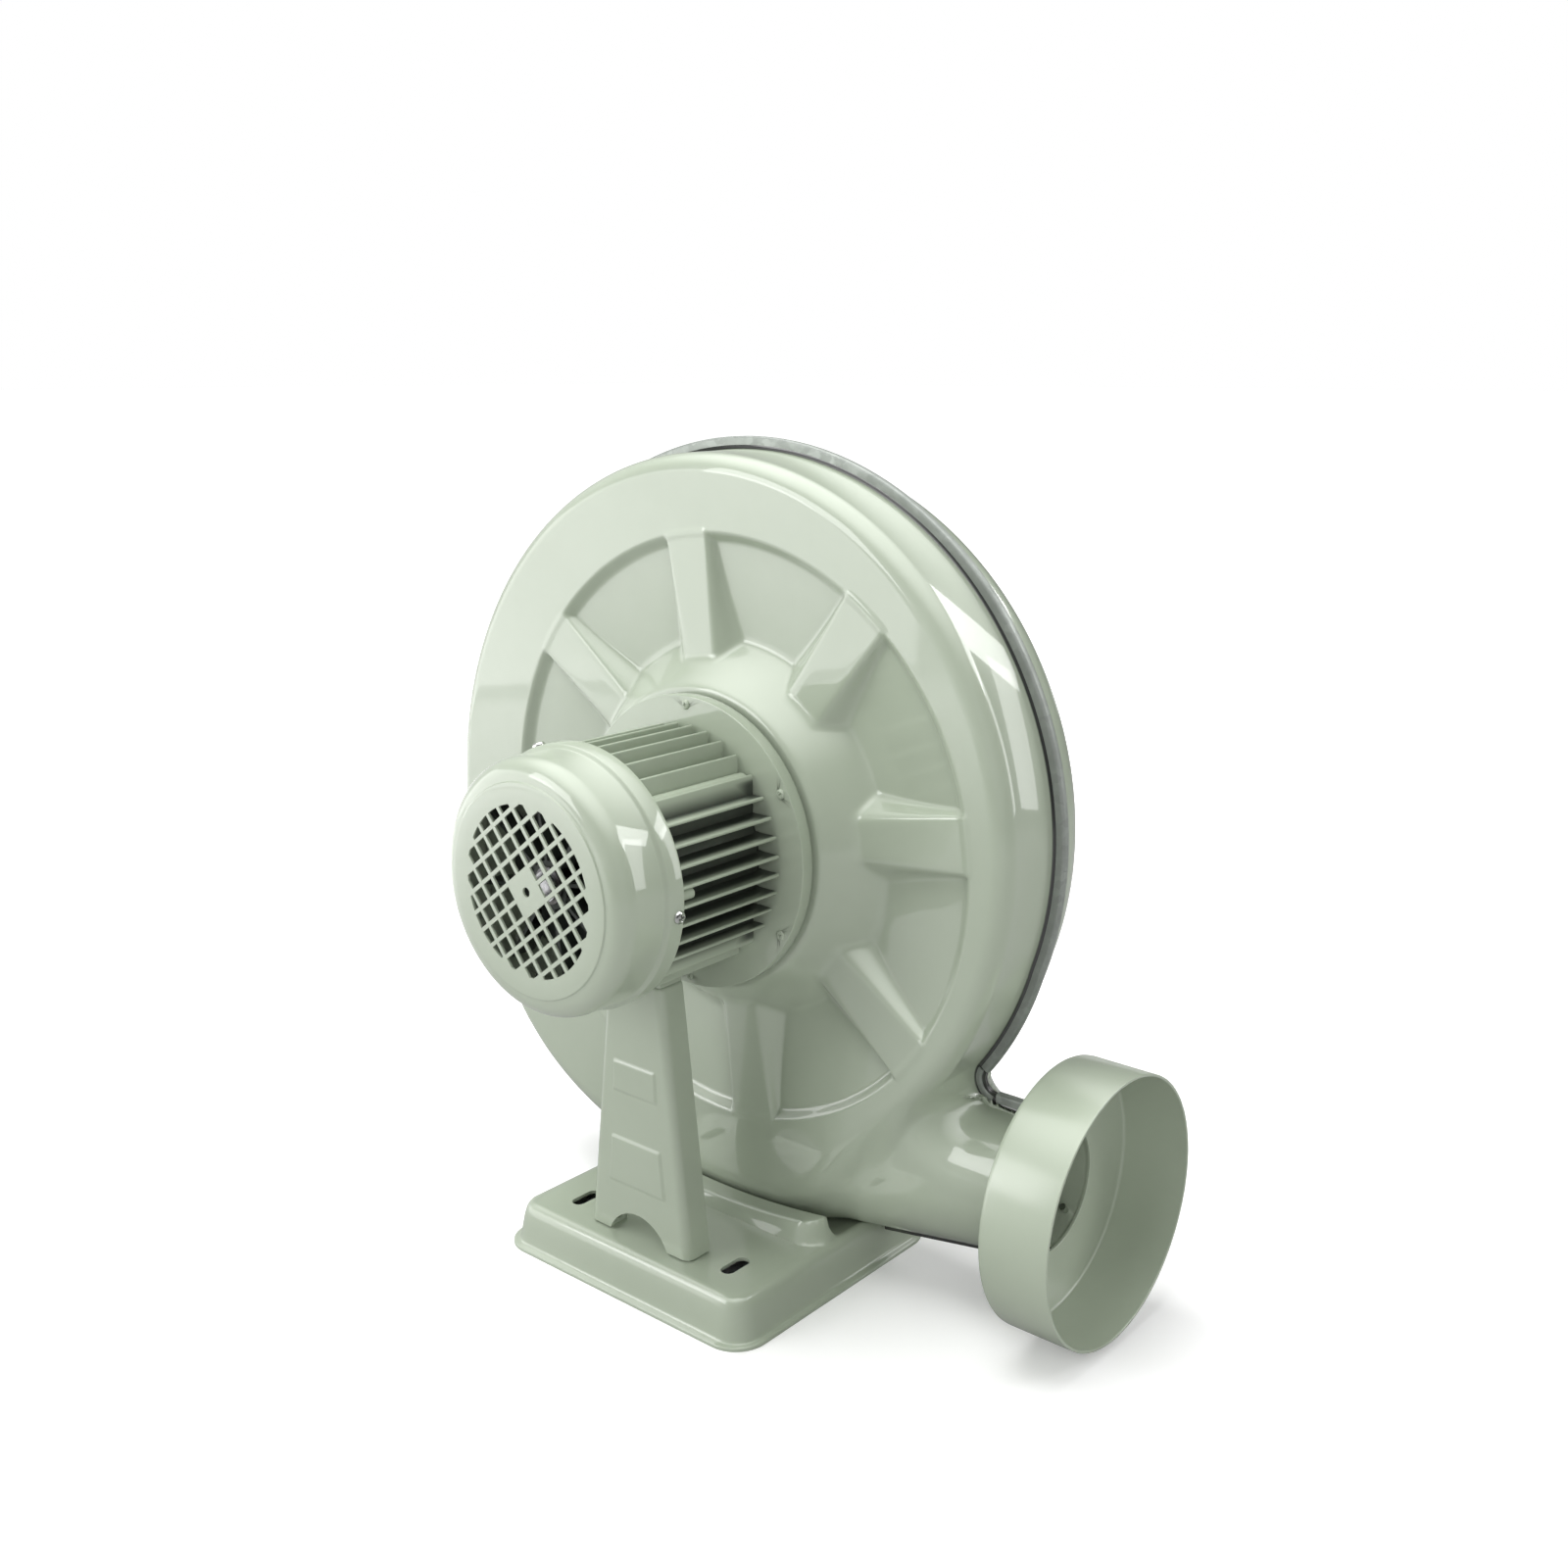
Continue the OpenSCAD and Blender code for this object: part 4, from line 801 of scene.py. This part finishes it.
def spangle_group():
    """The crystal patches of hot-dip zinc: their tone, their gloss and rolling streaks."""
    tree, into, out = group_tree("spangle", {
        "Color": (1, 1, 1, 1), "Dull": (1, 1, 1, 1), "Roughness": 0.35, "Scale": 120.0,
    }, ["Color", "Roughness", "Height"])
    cells = new_node(tree, "ShaderNodeTexVoronoi", {
        "Vector": into["Vector"], "Scale": into["Scale"]}, "Color")
    patch = new_node(tree, "ShaderNodeSeparateColor", {"Color": cells}, "Red")
    wear = noise(into["Vector"], 35.0, 4.0, 0.65)
    tone = math_node("MAXIMUM", patch * 0.6, ramp(wear, 0.35, 0.7) * 0.7)
    feed(tree, out["Color"], mix_color(tone, into["Color"], into["Dull"]))
    feed(tree, out["Roughness"], into["Roughness"] + tone * 0.2)
    feed(tree, out["Height"], wear)
    return tree


SPANGLE = spangle_group()


def zinc_sheet_material(name, color, dull, roughness, scale, metallic):
    """Hot-dip galvanised sheet."""
    material, tree = new_material(name, Metallic=metallic)
    tone = effect(SPANGLE, place(tree), Color=color, Dull=dull, Roughness=roughness, Scale=scale)
    return wired(material, tone, tone["Height"], 0.00015)


strip_zinc = zinc_sheet_material(
    "strip_zinc", (0.335, 0.36, 0.335, 1), (0.225, 0.245, 0.225, 1), 0.42, 260.0, 0.5)
on_scroll = edge_kind == "scroll"
seam_strip = swept_strip("scroll_strip", edge_at[on_scroll], edge_out[on_scroll],
                         strip_section(2.6 * MM, strip_reach, strip_wall), strip_zinc)
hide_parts("seam_strip")


# Notch and outlet strip
# Two shorter lengths of the same channel: one bent tightly round the notch and one straight
# along the top of the outlet tube, with small gaps where the lengths meet.
in_notch = edge_kind == "notch"
notch_strip = swept_strip("notch_strip", edge_at[in_notch][1:-1], edge_out[in_notch][1:-1],
                          strip_section(1.5 * MM, 4.0 * MM, 0.9 * MM), strip_zinc)
top_spots = [(v, tube_top) for v in np.linspace(notch_x + 1.0 * MM, sleeve_x - 0.7 * MM, 6)]
outlet_strip = swept_strip("outlet_strip", top_spots, [(0, 1)] * len(top_spots),
                           strip_section(2.2 * MM, strip_reach, strip_wall), strip_zinc)
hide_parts("outlet_seam_strip")


# Outlet collar
# A stepped duct adapter spun from 1.6 mm sheet: a sleeve over the outlet tube, a flat wall
# and a wide ring for the duct. Its enamel is sprayed on thick and shows fine pale pips.


def eased(points, radii):
    """An outline whose corners are rounded by these radii."""
    out = []
    for i, radius in enumerate(radii):
        corner = Vector(points[i])
        if not radius:
            out.append(tuple(corner))
            continue
        sides = [Vector(points[k % len(points)]) - corner for k in (i - 1, i + 1)]
        a, b = (corner + side.normalized() * min(radius, side.length * 0.5) for side in sides)
        for t in np.linspace(0, 1, 5):
            out.append(tuple(a * (1 - t) ** 2 + corner * 2 * t * (1 - t) + b * t * t))
    return out


def turned_piece(name, profile, material, point, steps=160, capped=False, smooth_angle=30):
    """A turned piece. The profile is (radius, place along the axis), and point maps it to space."""
    rows = [[point(r, s, turn) for turn in np.arange(steps) * 360 / steps] for r, s in profile]
    verts, faces = lofted([rows], looped=not capped, ends=(capped, capped))
    return make_piece(name, verts, faces, material, smooth_angle, outward=True)


def on_outlet(r, s, turn):
    """A point round the outlet axis, s along it from the tube's end."""
    t = math.radians(turn)
    return (tube_end + s, seam_y + r * math.cos(t), tube_z + r * math.sin(t))


collar_t = 1.6 * MM
collar_r = (collar_box[1].z - collar_box[0].z) / 2
collar_len = collar_box[1].x - tube_end
sleeve_in = tube_r + 0.1 * MM
sleeve_out = sleeve_in + collar_t
lip_r = tube_r - 2.2 * MM
collar_profile = eased(
    [(sleeve_in, -sleeve_len), (sleeve_out, -sleeve_len), (sleeve_out, 0), (collar_r, 0),
     (collar_r, collar_len), (collar_r - collar_t, collar_len), (collar_r - collar_t, collar_t),
     (lip_r, collar_t), (lip_r, -0.05 * MM), (sleeve_in, -0.05 * MM)],
    np.array([0.3, 0.5, 1.5, 3.2, 0.5, 0.5, 2.0, 0.4, 0, 0]) * MM)
collar_enamel = enamel_material(
    "collar_enamel", roughness=0.38, coat=0.8, peel=0.00008, pips=900.0, ripple=0.5, blur=0.22)
collar = turned_piece("duct_collar", collar_profile, collar_enamel, on_outlet, steps=192)
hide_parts("outlet_collar")


# Cross-head screws
# Zinc-plated pan-head screws with a cross recess: three round the cowl, four in the outlet
# collar's sleeve, eight round the inlet and six, painted over, round the motor flange.


def cross_radius(turn, arm, half):
    """Radius of the cross recess at an angle."""
    fold = abs((turn + math.pi / 4) % (math.pi / 2) - math.pi / 4)
    return arm / math.cos(fold) if math.tan(fold) < half / arm else half / math.sin(fold)


def screw_rings(head_r, head_h, shank_r, shank_len):
    """Rings of points of one screw, from the recess over the head, which rises along +Z, to the tip."""
    arm, half, sunk = head_r * 0.56, head_r * 0.15, head_h * 0.75
    corner = math.atan2(half, arm)
    quarter = [0, corner, math.radians(28), math.pi / 4, math.radians(62), math.pi / 2 - corner]
    turns = [q * math.pi / 2 + a for q in range(4) for a in quarter]
    cross = np.array([cross_radius(t, arm, half) for t in turns])
    even = np.ones(len(turns))
    rings = [(cross * 0.5, head_h - sunk), (cross, 0.94 * head_h), (cross * 1.06, head_h)]
    for share, lift in ((0.72, 0.95), (0.86, 0.8), (0.96, 0.52), (1.0, 0.22), (1.0, 0.0)):
        rings.append((even * head_r * share, head_h * lift))
    rings += [(even * shank_r, 0.0), (even * shank_r, -shank_len)]
    return [[Vector((r * math.cos(t), r * math.sin(t), z)) for r, t in zip(radii, turns)]
            for radii, z in rings]


def screw_set(name, node, seats, sizes, material):
    """Equal screws in one piece, at seats of (point, direction of the head, turn of the cross)."""
    forms = []
    for spot, aim, turn in seats:
        turned = Vector(aim).to_track_quat("Z", "Y").to_matrix().to_4x4() @ Matrix.Rotation(turn, 4, "Z")
        seated = Matrix.Translation(spot) @ turned
        forms.append([[seated @ point for point in ring] for ring in screw_rings(*sizes)])
    piece = make_piece(name, *lofted(forms), material, 32, outward=True)
    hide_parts(node)


def on_shaft(r, y, turn):
    """A point round the shaft at an angle in degrees above the outlet side."""
    t = math.radians(turn)
    return (r * math.cos(t), y, shaft_z + r * math.sin(t))


screw_zinc = metal_material("screw_zinc", (0.66, 0.67, 0.66, 1), (0.52, 0.53, 0.50, 1), 0.22)
screw_paint = enamel_material("screw_paint", roughness=0.45, coat=0.4)
sheet_screw = (3.8 * MM, 2.4 * MM, 1.9 * MM, 8 * MM)
flange_y = 30 * MM
flange_seats = [(on_shaft(79 * MM, flange_y, 30 + 60 * i), (0, -1, 0), 0.5 + 1.3 * i) for i in range(6)]
small_screw = (2.7 * MM, 1.1 * MM, 2 * MM, 13 * MM)
screw_set("flange_screw_set", "flange_screws", flange_seats, small_screw, screw_paint)
cowl_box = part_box("fan_cowl")
cowl_r = (cowl_box[1].z - cowl_box[0].z) / 2
cowl_screw = (3.6 * MM, 2.2 * MM, 2 * MM, 7 * MM)
cowl_screw_y = cowl_box[1].y - 4 * MM
cowl_seats = [(on_shaft(cowl_r, cowl_screw_y, math.degrees(t)), (math.cos(t), 0, math.sin(t)), 0.3 + i)
              for i, t in enumerate(np.radians((-6, 114, 234)))]
screw_set("cowl_screw_set", "cowl_screws", cowl_seats, cowl_screw, screw_zinc)
tube_screw_at = 7 * MM - sleeve_len
tube_seats = [(on_outlet(sleeve_out, tube_screw_at, math.degrees(t)), (0, math.cos(t), math.sin(t)), 0.7 * i)
              for i, t in enumerate(np.radians((135, 225, 315, 405)))]
screw_set("outlet_screw_set", "outlet_screws", tube_seats, sheet_screw, screw_zinc)
inlet_seat_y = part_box("inlet_screws")[1].y - sheet_screw[1]
inlet_seats = [(on_shaft(84 * MM, inlet_seat_y, 45 * i), (0, 1, 0), 0.9 * i) for i in range(8)]
screw_set("inlet_screw_set", "inlet_screws", inlet_seats, sheet_screw, screw_zinc)


# Inlet cone and collar
# A spun bell mouth that leads the air into the impeller eye, and a flanged sheet ring for
# the duct, held together on the casing back by the eight inlet screws.
for name in ("inlet_cone", "inlet_collar"):
    dress(name, collar_enamel, 0.4 * MM)


# Motor frame
# A cast barrel whose straight cooling fins stand upright above and below it and lie flat at
# its sides, all ending on one round envelope. The fins stop just short of the flange, and
# the barrel a little before that, so a groove shows between them, dark with painted shade.
frame_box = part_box("motor_frame")
frame_back = frame_box[0].y
frame_front = frame_box[1].y
bore_r = 52 * MM
barrel_r = 56.5 * MM
fin_tip_r = 69 * MM
fin_t = 1.9 * MM
fin_round = 0.9 * MM


def fin_gap_shade(x, y, z):
    """1 deep between the side fins and beside the flange: painted shade where light hardly reaches."""
    z = z - shaft_z
    out_r = math_node("SQRT", x * x + z * z)
    deep = 1.0 - ramp(out_r, 61 * MM, fin_tip_r)
    by_flange = ramp(y, frame_front - 22 * MM, frame_front - 4 * MM)
    sheltered = 1.0 - ramp(out_r, 66.5 * MM, 68.5 * MM)
    shaded = math_node("MAXIMUM", deep, by_flange * sheltered)
    return shaded * ramp(abs(x) - abs(z), 0.0, 8 * MM)


cast_enamel = enamel_material("cast_enamel", roughness=0.45, coat=0.5, peel=0.0001, pips=260.0, ripple=0.6)
fin_enamel = enamel_material("fin_enamel", roughness=0.45, coat=0.45, peel=0.0001, pips=260.0, ripple=0.6)
# Painted shade: near-black deep between the side fins and in the groove beside the flange.
paint_shade(fin_enamel, fin_gap_shade, (0.03, 0.036, 0.028, 1))
spigot_r = bore_r + 1.2 * MM
barrel_front = frame_front - 5 * MM
spigot_front = frame_front - 0.1 * MM
barrel = turned_piece("motor_barrel", eased(
    [(bore_r, frame_back), (barrel_r, frame_back), (barrel_r, barrel_front), (spigot_r, barrel_front),
     (spigot_r, spigot_front), (bore_r, spigot_front)],
    [0, 0.5 * MM, 0.8 * MM, 0, 0, 0]), fin_enamel, on_shaft, steps=144)
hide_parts("motor_frame")


def fin_section(root, tip):
    """Round ended fin section as (distance out, half thickness), thicker at its root."""
    curl = arc(fin_round, np.linspace(90, 0, 5), (tip - fin_round, fin_t / 2 - fin_round))
    upper = [(root, fin_t / 2 + 0.5 * MM), (root + 2 * MM, fin_t / 2 + 0.1 * MM)] + curl
    return upper + [(out, -half) for out, half in upper[::-1]]


fin_end = frame_front - 1.4 * MM
fin_chamfer = 0.4 * MM
fin_forms = []
for fin_count, pitch, upright in ((8, 10.2 * MM, False), (10, 10.9 * MM, True)):
    for i in range(fin_count):
        off = (i - fin_count / 2 + 0.5) * pitch
        tip = math.sqrt(fin_tip_r**2 - (abs(off) + fin_t / 2) ** 2)
        root = math.sqrt(max(barrel_r**2 - (abs(off) + fin_t) ** 2, 0)) - 1.2 * MM
        for side in (-1, 1):
            rows = []
            for y_at, shrink in ((frame_back, 0), (fin_end - fin_chamfer, 0), (fin_end, fin_chamfer)):
                section = [(side * (out - shrink * (out > tip - 1 * MM)), off + half)
                           for out, half in fin_section(root, tip)]
                rows.append([(b, y_at, shaft_z + a) if upright else (a, y_at, shaft_z + b)
                             for a, b in section])
            fin_forms.append(rows)
fins = make_piece("motor_fins", *lofted(fin_forms), fin_enamel, 40, outward=True)

pad_half = 21 * MM
pad_z = shaft_z - fin_tip_r
pad = [(-pad_half, leg_front), (pad_half, leg_front), (pad_half, leg_back), (-pad_half, leg_back)]
pad_mesh = prisms([pad], lambda a, b: ((a, b, pad_z), (a, b, pad_z + 15 * MM)))
foot_pad = make_piece("motor_pad", *pad_mesh, cast_enamel, outward=True)
modify(foot_pad, "edge", "BEVEL", width=0.8 * MM, segments=3)

tie_r = 60.5 * MM
boss_r = 5 * MM
boss_front = frame_front - 1.0 * MM
boss_profile = eased(
    [(boss_r * 0.3, frame_back), (boss_r, frame_back), (boss_r, boss_front), (boss_r * 0.3, boss_front)],
    [0, boss_r * 0.5, boss_r * 0.5, 0])
for i in range(4):
    bolt_x, _, bolt_z = on_shaft(tie_r, 0, 45 + 90 * i)

    def on_bolt(r, s, turn):
        """A point round this tie bolt, s along it."""
        return (bolt_x + r * math.cos(math.radians(turn)), s, bolt_z + r * math.sin(math.radians(turn)))

    boss = turned_piece(f"tie_boss_{i}", boss_profile, cast_enamel, on_bolt, steps=32, capped=True)


# End shields and tie bolts
# Two cast shields carry the bearings: the round flange, which is screwed to the hub of the
# casing, and the rear shield under the cowl. Four long bolts clamp the frame between them.
flange_enamel = enamel_material("flange_enamel", roughness=0.36, coat=0.8, peel=0.00005)
dress("motor_flange", flange_enamel, 0.4 * MM)
dress("rear_shield", cast_enamel, 0.5 * MM)
dress("tie_bolts", bright_zinc, 0.2 * MM)


# Fan cowl
# A cup pressed from 1.2 mm sheet with a wide round shoulder, a stepped skirt and a punched
# grille: square holes on a turned grid, cut off by the round edge of the field, with a
# square left whole round the middle hole.
cowl_front, cowl_rim = cowl_box[0].y, cowl_box[1].y
side_r = cowl_r - 2.4 * MM
cowl_round = 11 * MM
cowl_t = 1.2 * MM
shoulder_r = side_r - cowl_round
plate_r = 49 * MM
skirt_at = cowl_rim - cowl_front - 10.5 * MM
disc_step = 1.1 * MM
rim_round = 0.3 * MM


def cowl_skin(t):
    """Outline of the cowl from the grille plate to the open rim, inside its skin by t."""
    skin = [(plate_r, t), (shoulder_r - 2.2 * MM, t), (shoulder_r - 1.2 * MM, t + 0.12 * disc_step),
            (shoulder_r - 0.5 * MM, t + 0.8 * disc_step), (shoulder_r + 0.4 * MM, t + disc_step)]
    skin += arc(cowl_round - t, np.linspace(-84, 0, 15), (shoulder_r, disc_step + cowl_round))
    skin += [(side_r - t + (cowl_r - side_r) * smoothstep(0, 1, s), skirt_at - 1.6 * MM + 2.6 * MM * s)
             for s in np.linspace(0, 1, 7)]
    return [(r, cowl_front + s) for r, s in skin]


cowl_profile = (cowl_skin(0) + [(cowl_r, cowl_rim - rim_round), (cowl_r - rim_round, cowl_rim),
                                (cowl_r - cowl_t, cowl_rim)] + cowl_skin(cowl_t)[::-1])
cowl_enamel = enamel_material("cowl_enamel", roughness=0.34, coat=0.9, peel=0.00003)
cowl = turned_piece("cowl_cup", cowl_profile, cowl_enamel, on_shaft, steps=176, capped=True)

grille_r = 46 * MM
hole_w = 7.6 * MM
hole_pitch = 9.8 * MM
middle_hole_r = 2.6 * MM
grille_turn = Matrix.Rotation(math.radians(38), 2)


def cut_to_field(corners, radius, sides=96):
    """The part of a square hole that lies inside the round field."""
    for k in range(sides):
        a = 2 * math.pi * (k + 0.5) / sides
        within = [radius - (px * math.cos(a) + py * math.sin(a)) for px, py in corners]
        kept = []
        for i, p in enumerate(corners):
            j = (i + 1) % len(corners)
            if within[i] >= 0:
                kept.append(p)
            if within[i] * within[j] < 0:
                s = within[i] / (within[i] - within[j])
                kept.append(tuple(v + (w - v) * s for v, w in zip(p, corners[j])))
        corners = kept
        if len(corners) < 3:
            return []
    return corners


holes = []
centres = np.arange(-4.5, 5)
for i in centres:
    for j in centres:
        if max(abs(i), abs(j)) < 1 or math.hypot(i, j) * hole_pitch > grille_r + 1 * MM:
            continue
        square = [(i * hole_pitch + sx * hole_w / 2, j * hole_pitch + sy * hole_w / 2)
                  for sx, sy in ((-1, -1), (1, -1), (1, 1), (-1, 1))]
        cut = cut_to_field([tuple(grille_turn @ Vector(corner)) for corner in square], grille_r)
        if cut:
            holes.append(cut)
holes.append(arc(middle_hole_r, np.arange(0, 360, 15)))
carve(cowl, *prisms(holes, lambda a, b: (
    (a, cowl_front + 4 * MM, shaft_z + b), (a, cowl_front - 2 * MM, shaft_z + b))), smooth_angle=30)
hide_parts("fan_cowl")


# Motor cooling fan
# A radial fan moulded in grey-green plastic, held on the shaft by a spring clip ring and
# seen through the grille.


def moulding_material(name, color, shade, roughness):
    """Moulded plastic or rubber with a faint grain."""
    material, tree = new_material(name)
    at = place(tree)
    tone = effect(SOILING, at, Color=color, Shade=shade, Roughness=roughness, Spread=0.12, Scale=40.0)
    grain = effect(ORANGE_PEEL, at, Pip_Scale=1600.0, Ripple=0.2)
    return wired(material, tone, grain["Height"], 0.00005)


fan_plastic = moulding_material("fan_plastic", (0.06, 0.07, 0.06, 1), (0.04, 0.047, 0.04, 1), 0.45)
dress("cooling_fan", fan_plastic, 0.3 * MM)
spring_steel = metal_material("spring_steel", (0.25, 0.25, 0.26, 1), (0.18, 0.17, 0.16, 1), 0.35)
dress("fan_clip", spring_steel)


# Cable gland and shaft seal
# A black plastic gland for the motor lead, and the rubber lip seal at the drive end.
gland_plastic = moulding_material("gland_plastic", (0.03, 0.032, 0.032, 1), (0.02, 0.021, 0.021, 1), 0.4)
dress("cable_gland", gland_plastic, 0.4 * MM)
seal_rubber = moulding_material("seal_rubber", (0.02, 0.02, 0.02, 1), (0.03, 0.03, 0.03, 1), 0.65)
dress("shaft_seal", seal_rubber)


# Stator and rotor
# Laminated cores of varnished steel, copper windings with their end turns, and the cast
# aluminium rings that short the rotor's cage.


def layered_material(name, color, shade, roughness, metallic, axis, pitch, depth):
    """Thin layers side by side along one axis, such as laminations or winding wires."""
    material, tree = new_material(name, Metallic=metallic)
    at = place(tree)
    level = ramp(math_node("SINE", axes(at)[axis] * (2 * math.pi / pitch)), -1.0, 1.0)
    tone = effect(SOILING, at, Color=color, Shade=shade, Roughness=roughness, Spread=0.15, Scale=80.0)
    tone["Color"] = mix_color(level * 0.35, tone["Color"], shade)
    return wired(material, tone, level, depth)


core_steel = layered_material(
    "core_steel", (0.22, 0.22, 0.23, 1), (0.10, 0.10, 0.11, 1), 0.42, 0.9, 1, 0.0005, 0.00006)
copper_turns = layered_material(
    "copper_turns", (0.55, 0.22, 0.08, 1), (0.28, 0.09, 0.03, 1), 0.3, 0.8, 0, 0.0007, 0.0002)
cast_aluminium = metal_material(
    "cast_aluminium", (0.60, 0.61, 0.62, 1), (0.50, 0.51, 0.52, 1), 0.45, 90.0, 0.00006)
dress("stator_core", core_steel)
dress("rotor_core", core_steel)
dress("stator_windings", copper_turns, 1.5 * MM)
dress("rotor_end_rings", cast_aluminium, 0.5 * MM)


# Shaft and bearings
# A ground steel shaft in two deep-groove ball bearings, with the wave washer that loads the
# rear one.
ground_steel = metal_material(
    "ground_steel", (0.58, 0.58, 0.59, 1), (0.50, 0.50, 0.51, 1), 0.2, 300.0, 0.000005)
bearing_steel = metal_material(
    "bearing_steel", (0.62, 0.62, 0.63, 1), (0.56, 0.56, 0.57, 1), 0.12, 200.0, 0.000003)
dress("shaft", ground_steel, 0.3 * MM)
dress("bearing_outer_rings", bearing_steel, 0.3 * MM)
dress("bearing_inner_rings", bearing_steel, 0.3 * MM)
dress("bearing_balls", bearing_steel)
dress("wave_washer", spring_steel)


# Impeller
# A closed wheel riveted from galvanised sheet: a back plate, twelve swept blades and a
# coned shroud on a cast aluminium hub, keyed to the shaft and held by a bolt and washer.
wheel_zinc = zinc_sheet_material(
    "wheel_zinc", (0.58, 0.60, 0.61, 1), (0.42, 0.44, 0.45, 1), 0.34, 90.0, 0.85)
for name in ("impeller_plate", "impeller_blades", "impeller_shroud"):
    dress(name, wheel_zinc, 0.2 * MM)
dress("impeller_hub", cast_aluminium, 0.6 * MM)
dress("hub_rivets", cast_aluminium, 0.4 * MM)
dress("shaft_key", ground_steel, 0.2 * MM)
dress("impeller_washer", bright_zinc, 0.3 * MM)
dress("impeller_bolt", bright_zinc, 0.3 * MM)


# Studio floor
# A plain pale floor that keeps the shadow. The camera sees it glow further off, and glossy
# paint sees it bright on the left and dim on the right.
floor_half = 40
under_base = 2 * MM
floor_mesh = bpy.data.meshes.new("floor")
corners = [(a * floor_half, b * floor_half, 0) for a, b in ((-1, -1), (1, -1), (1, 1), (-1, 1))]
floor_mesh.from_pydata(corners, [], [(0, 1, 2, 3)])
floor = in_scene("floor", floor_mesh)
floor_paint = bpy.data.materials.new("floor_paint")
floor_paint.use_nodes = True
tree = floor_paint.node_tree
tree.nodes.clear()
rays = outputs_of(tree, tree.nodes.new("ShaderNodeLightPath"))
spot = new_node(tree, "ShaderNodeNewGeometry", {}, "Position")
away = new_node(tree, "ShaderNodeVectorMath", {0: spot}, "Value", operation="LENGTH")
floor_x, floor_y, _ = axes(spot)
clear = math_node("MAXIMUM", math_node("GREATER_THAN", abs(floor_x), base_half.x - under_base),
                  math_node("GREATER_THAN", abs(floor_y - base_mid.y), base_half.y - under_base))
lift = (ramp(away, 0.4, 1.6) * 0.9 + 0.1) * clear * rays["Is Camera Ray"]
on_right = ramp(floor_x, -1.1, -0.2) * rays["Is Glossy Ray"]
lift = lift + (rays["Is Glossy Ray"] - on_right) * 0.7
shade = math_node("MAXIMUM", rays["Is Diffuse Ray"] * 0.75, on_right)
pale = mix_color(shade, (1, 1, 1, 1), (0.35, 0.35, 0.35, 1))
paint = new_node(tree, "ShaderNodeBsdfDiffuse", {"Color": pale})
glow = new_node(tree, "ShaderNodeEmission", {"Color": (1, 1, 1, 1), "Strength": lift})
both = new_node(tree, "ShaderNodeAddShader", {0: paint, 1: glow})
feed(tree, tree.nodes.new("ShaderNodeOutputMaterial").inputs["Surface"], both)
floor_mesh.materials.append(floor_paint)


# Surround and soft boxes
# A white surround for the camera, which lights the fan more from the left and mirrors a pale
# ceiling in its paint, and soft boxes behind, above and in front on the left.
world = bpy.data.worlds.new("surround")
bpy.context.scene.world = world
world.use_nodes = True
tree = world.node_tree
back = tree.nodes["Background"]
back.inputs["Color"].default_value = (1, 1, 1, 1)
rays = outputs_of(tree, tree.nodes.new("ShaderNodeLightPath"))
sky_x, sky_y, sky_z = axes(new_node(tree, "ShaderNodeTexCoord", {}, "Generated"))
left = ramp(sky_x * -1.0 + sky_y * -0.6, -0.5, 1.1)
room = left * 0.6 + 0.03 + ramp(sky_z, 0.5, 1.0) * rays["Is Glossy Ray"] * 3.0
direct = math_node("MAXIMUM", rays["Is Camera Ray"], rays["Is Transmission Ray"])
feed(tree, back.inputs["Strength"], math_node("MAXIMUM", direct, room))
middle = Vector((0, 0.05, 0.25))


def soft_box(name, spot, size, power, mirrored=True):
    """A rectangular soft box at a spot, turned towards the middle of the fan."""
    data = bpy.data.lights.new(name, "AREA")
    data.shape = "RECTANGLE"
    data.size, data.size_y = size
    data.energy = power
    lamp = in_scene(name, data, spot, (middle - Vector(spot)).to_track_quat("-Z", "Y").to_euler())
    lamp.visible_camera = False
    lamp.visible_glossy = mirrored


soft_box("key", (-0.35, -0.05, 1.8), (1.7, 1.6), 38, mirrored=False)
soft_box("card", (-1.4, -0.9, 0.42), (1.5, 0.8), 7)
soft_box("front", (-0.9, -1.5, 0.95), (0.9, 0.9), 10)
soft_box("back", (1.1, 1.4, 1.5), (1.8, 0.45), 14)
soft_box("side", (1.3, -0.9, 0.7), (0.9, 1.2), 11, mirrored=False)
soft_box("edge", (1.6, 1.25, 0.8), (0.6, 1.3), 7)

bpy.context.scene.view_settings.view_transform = "Standard"
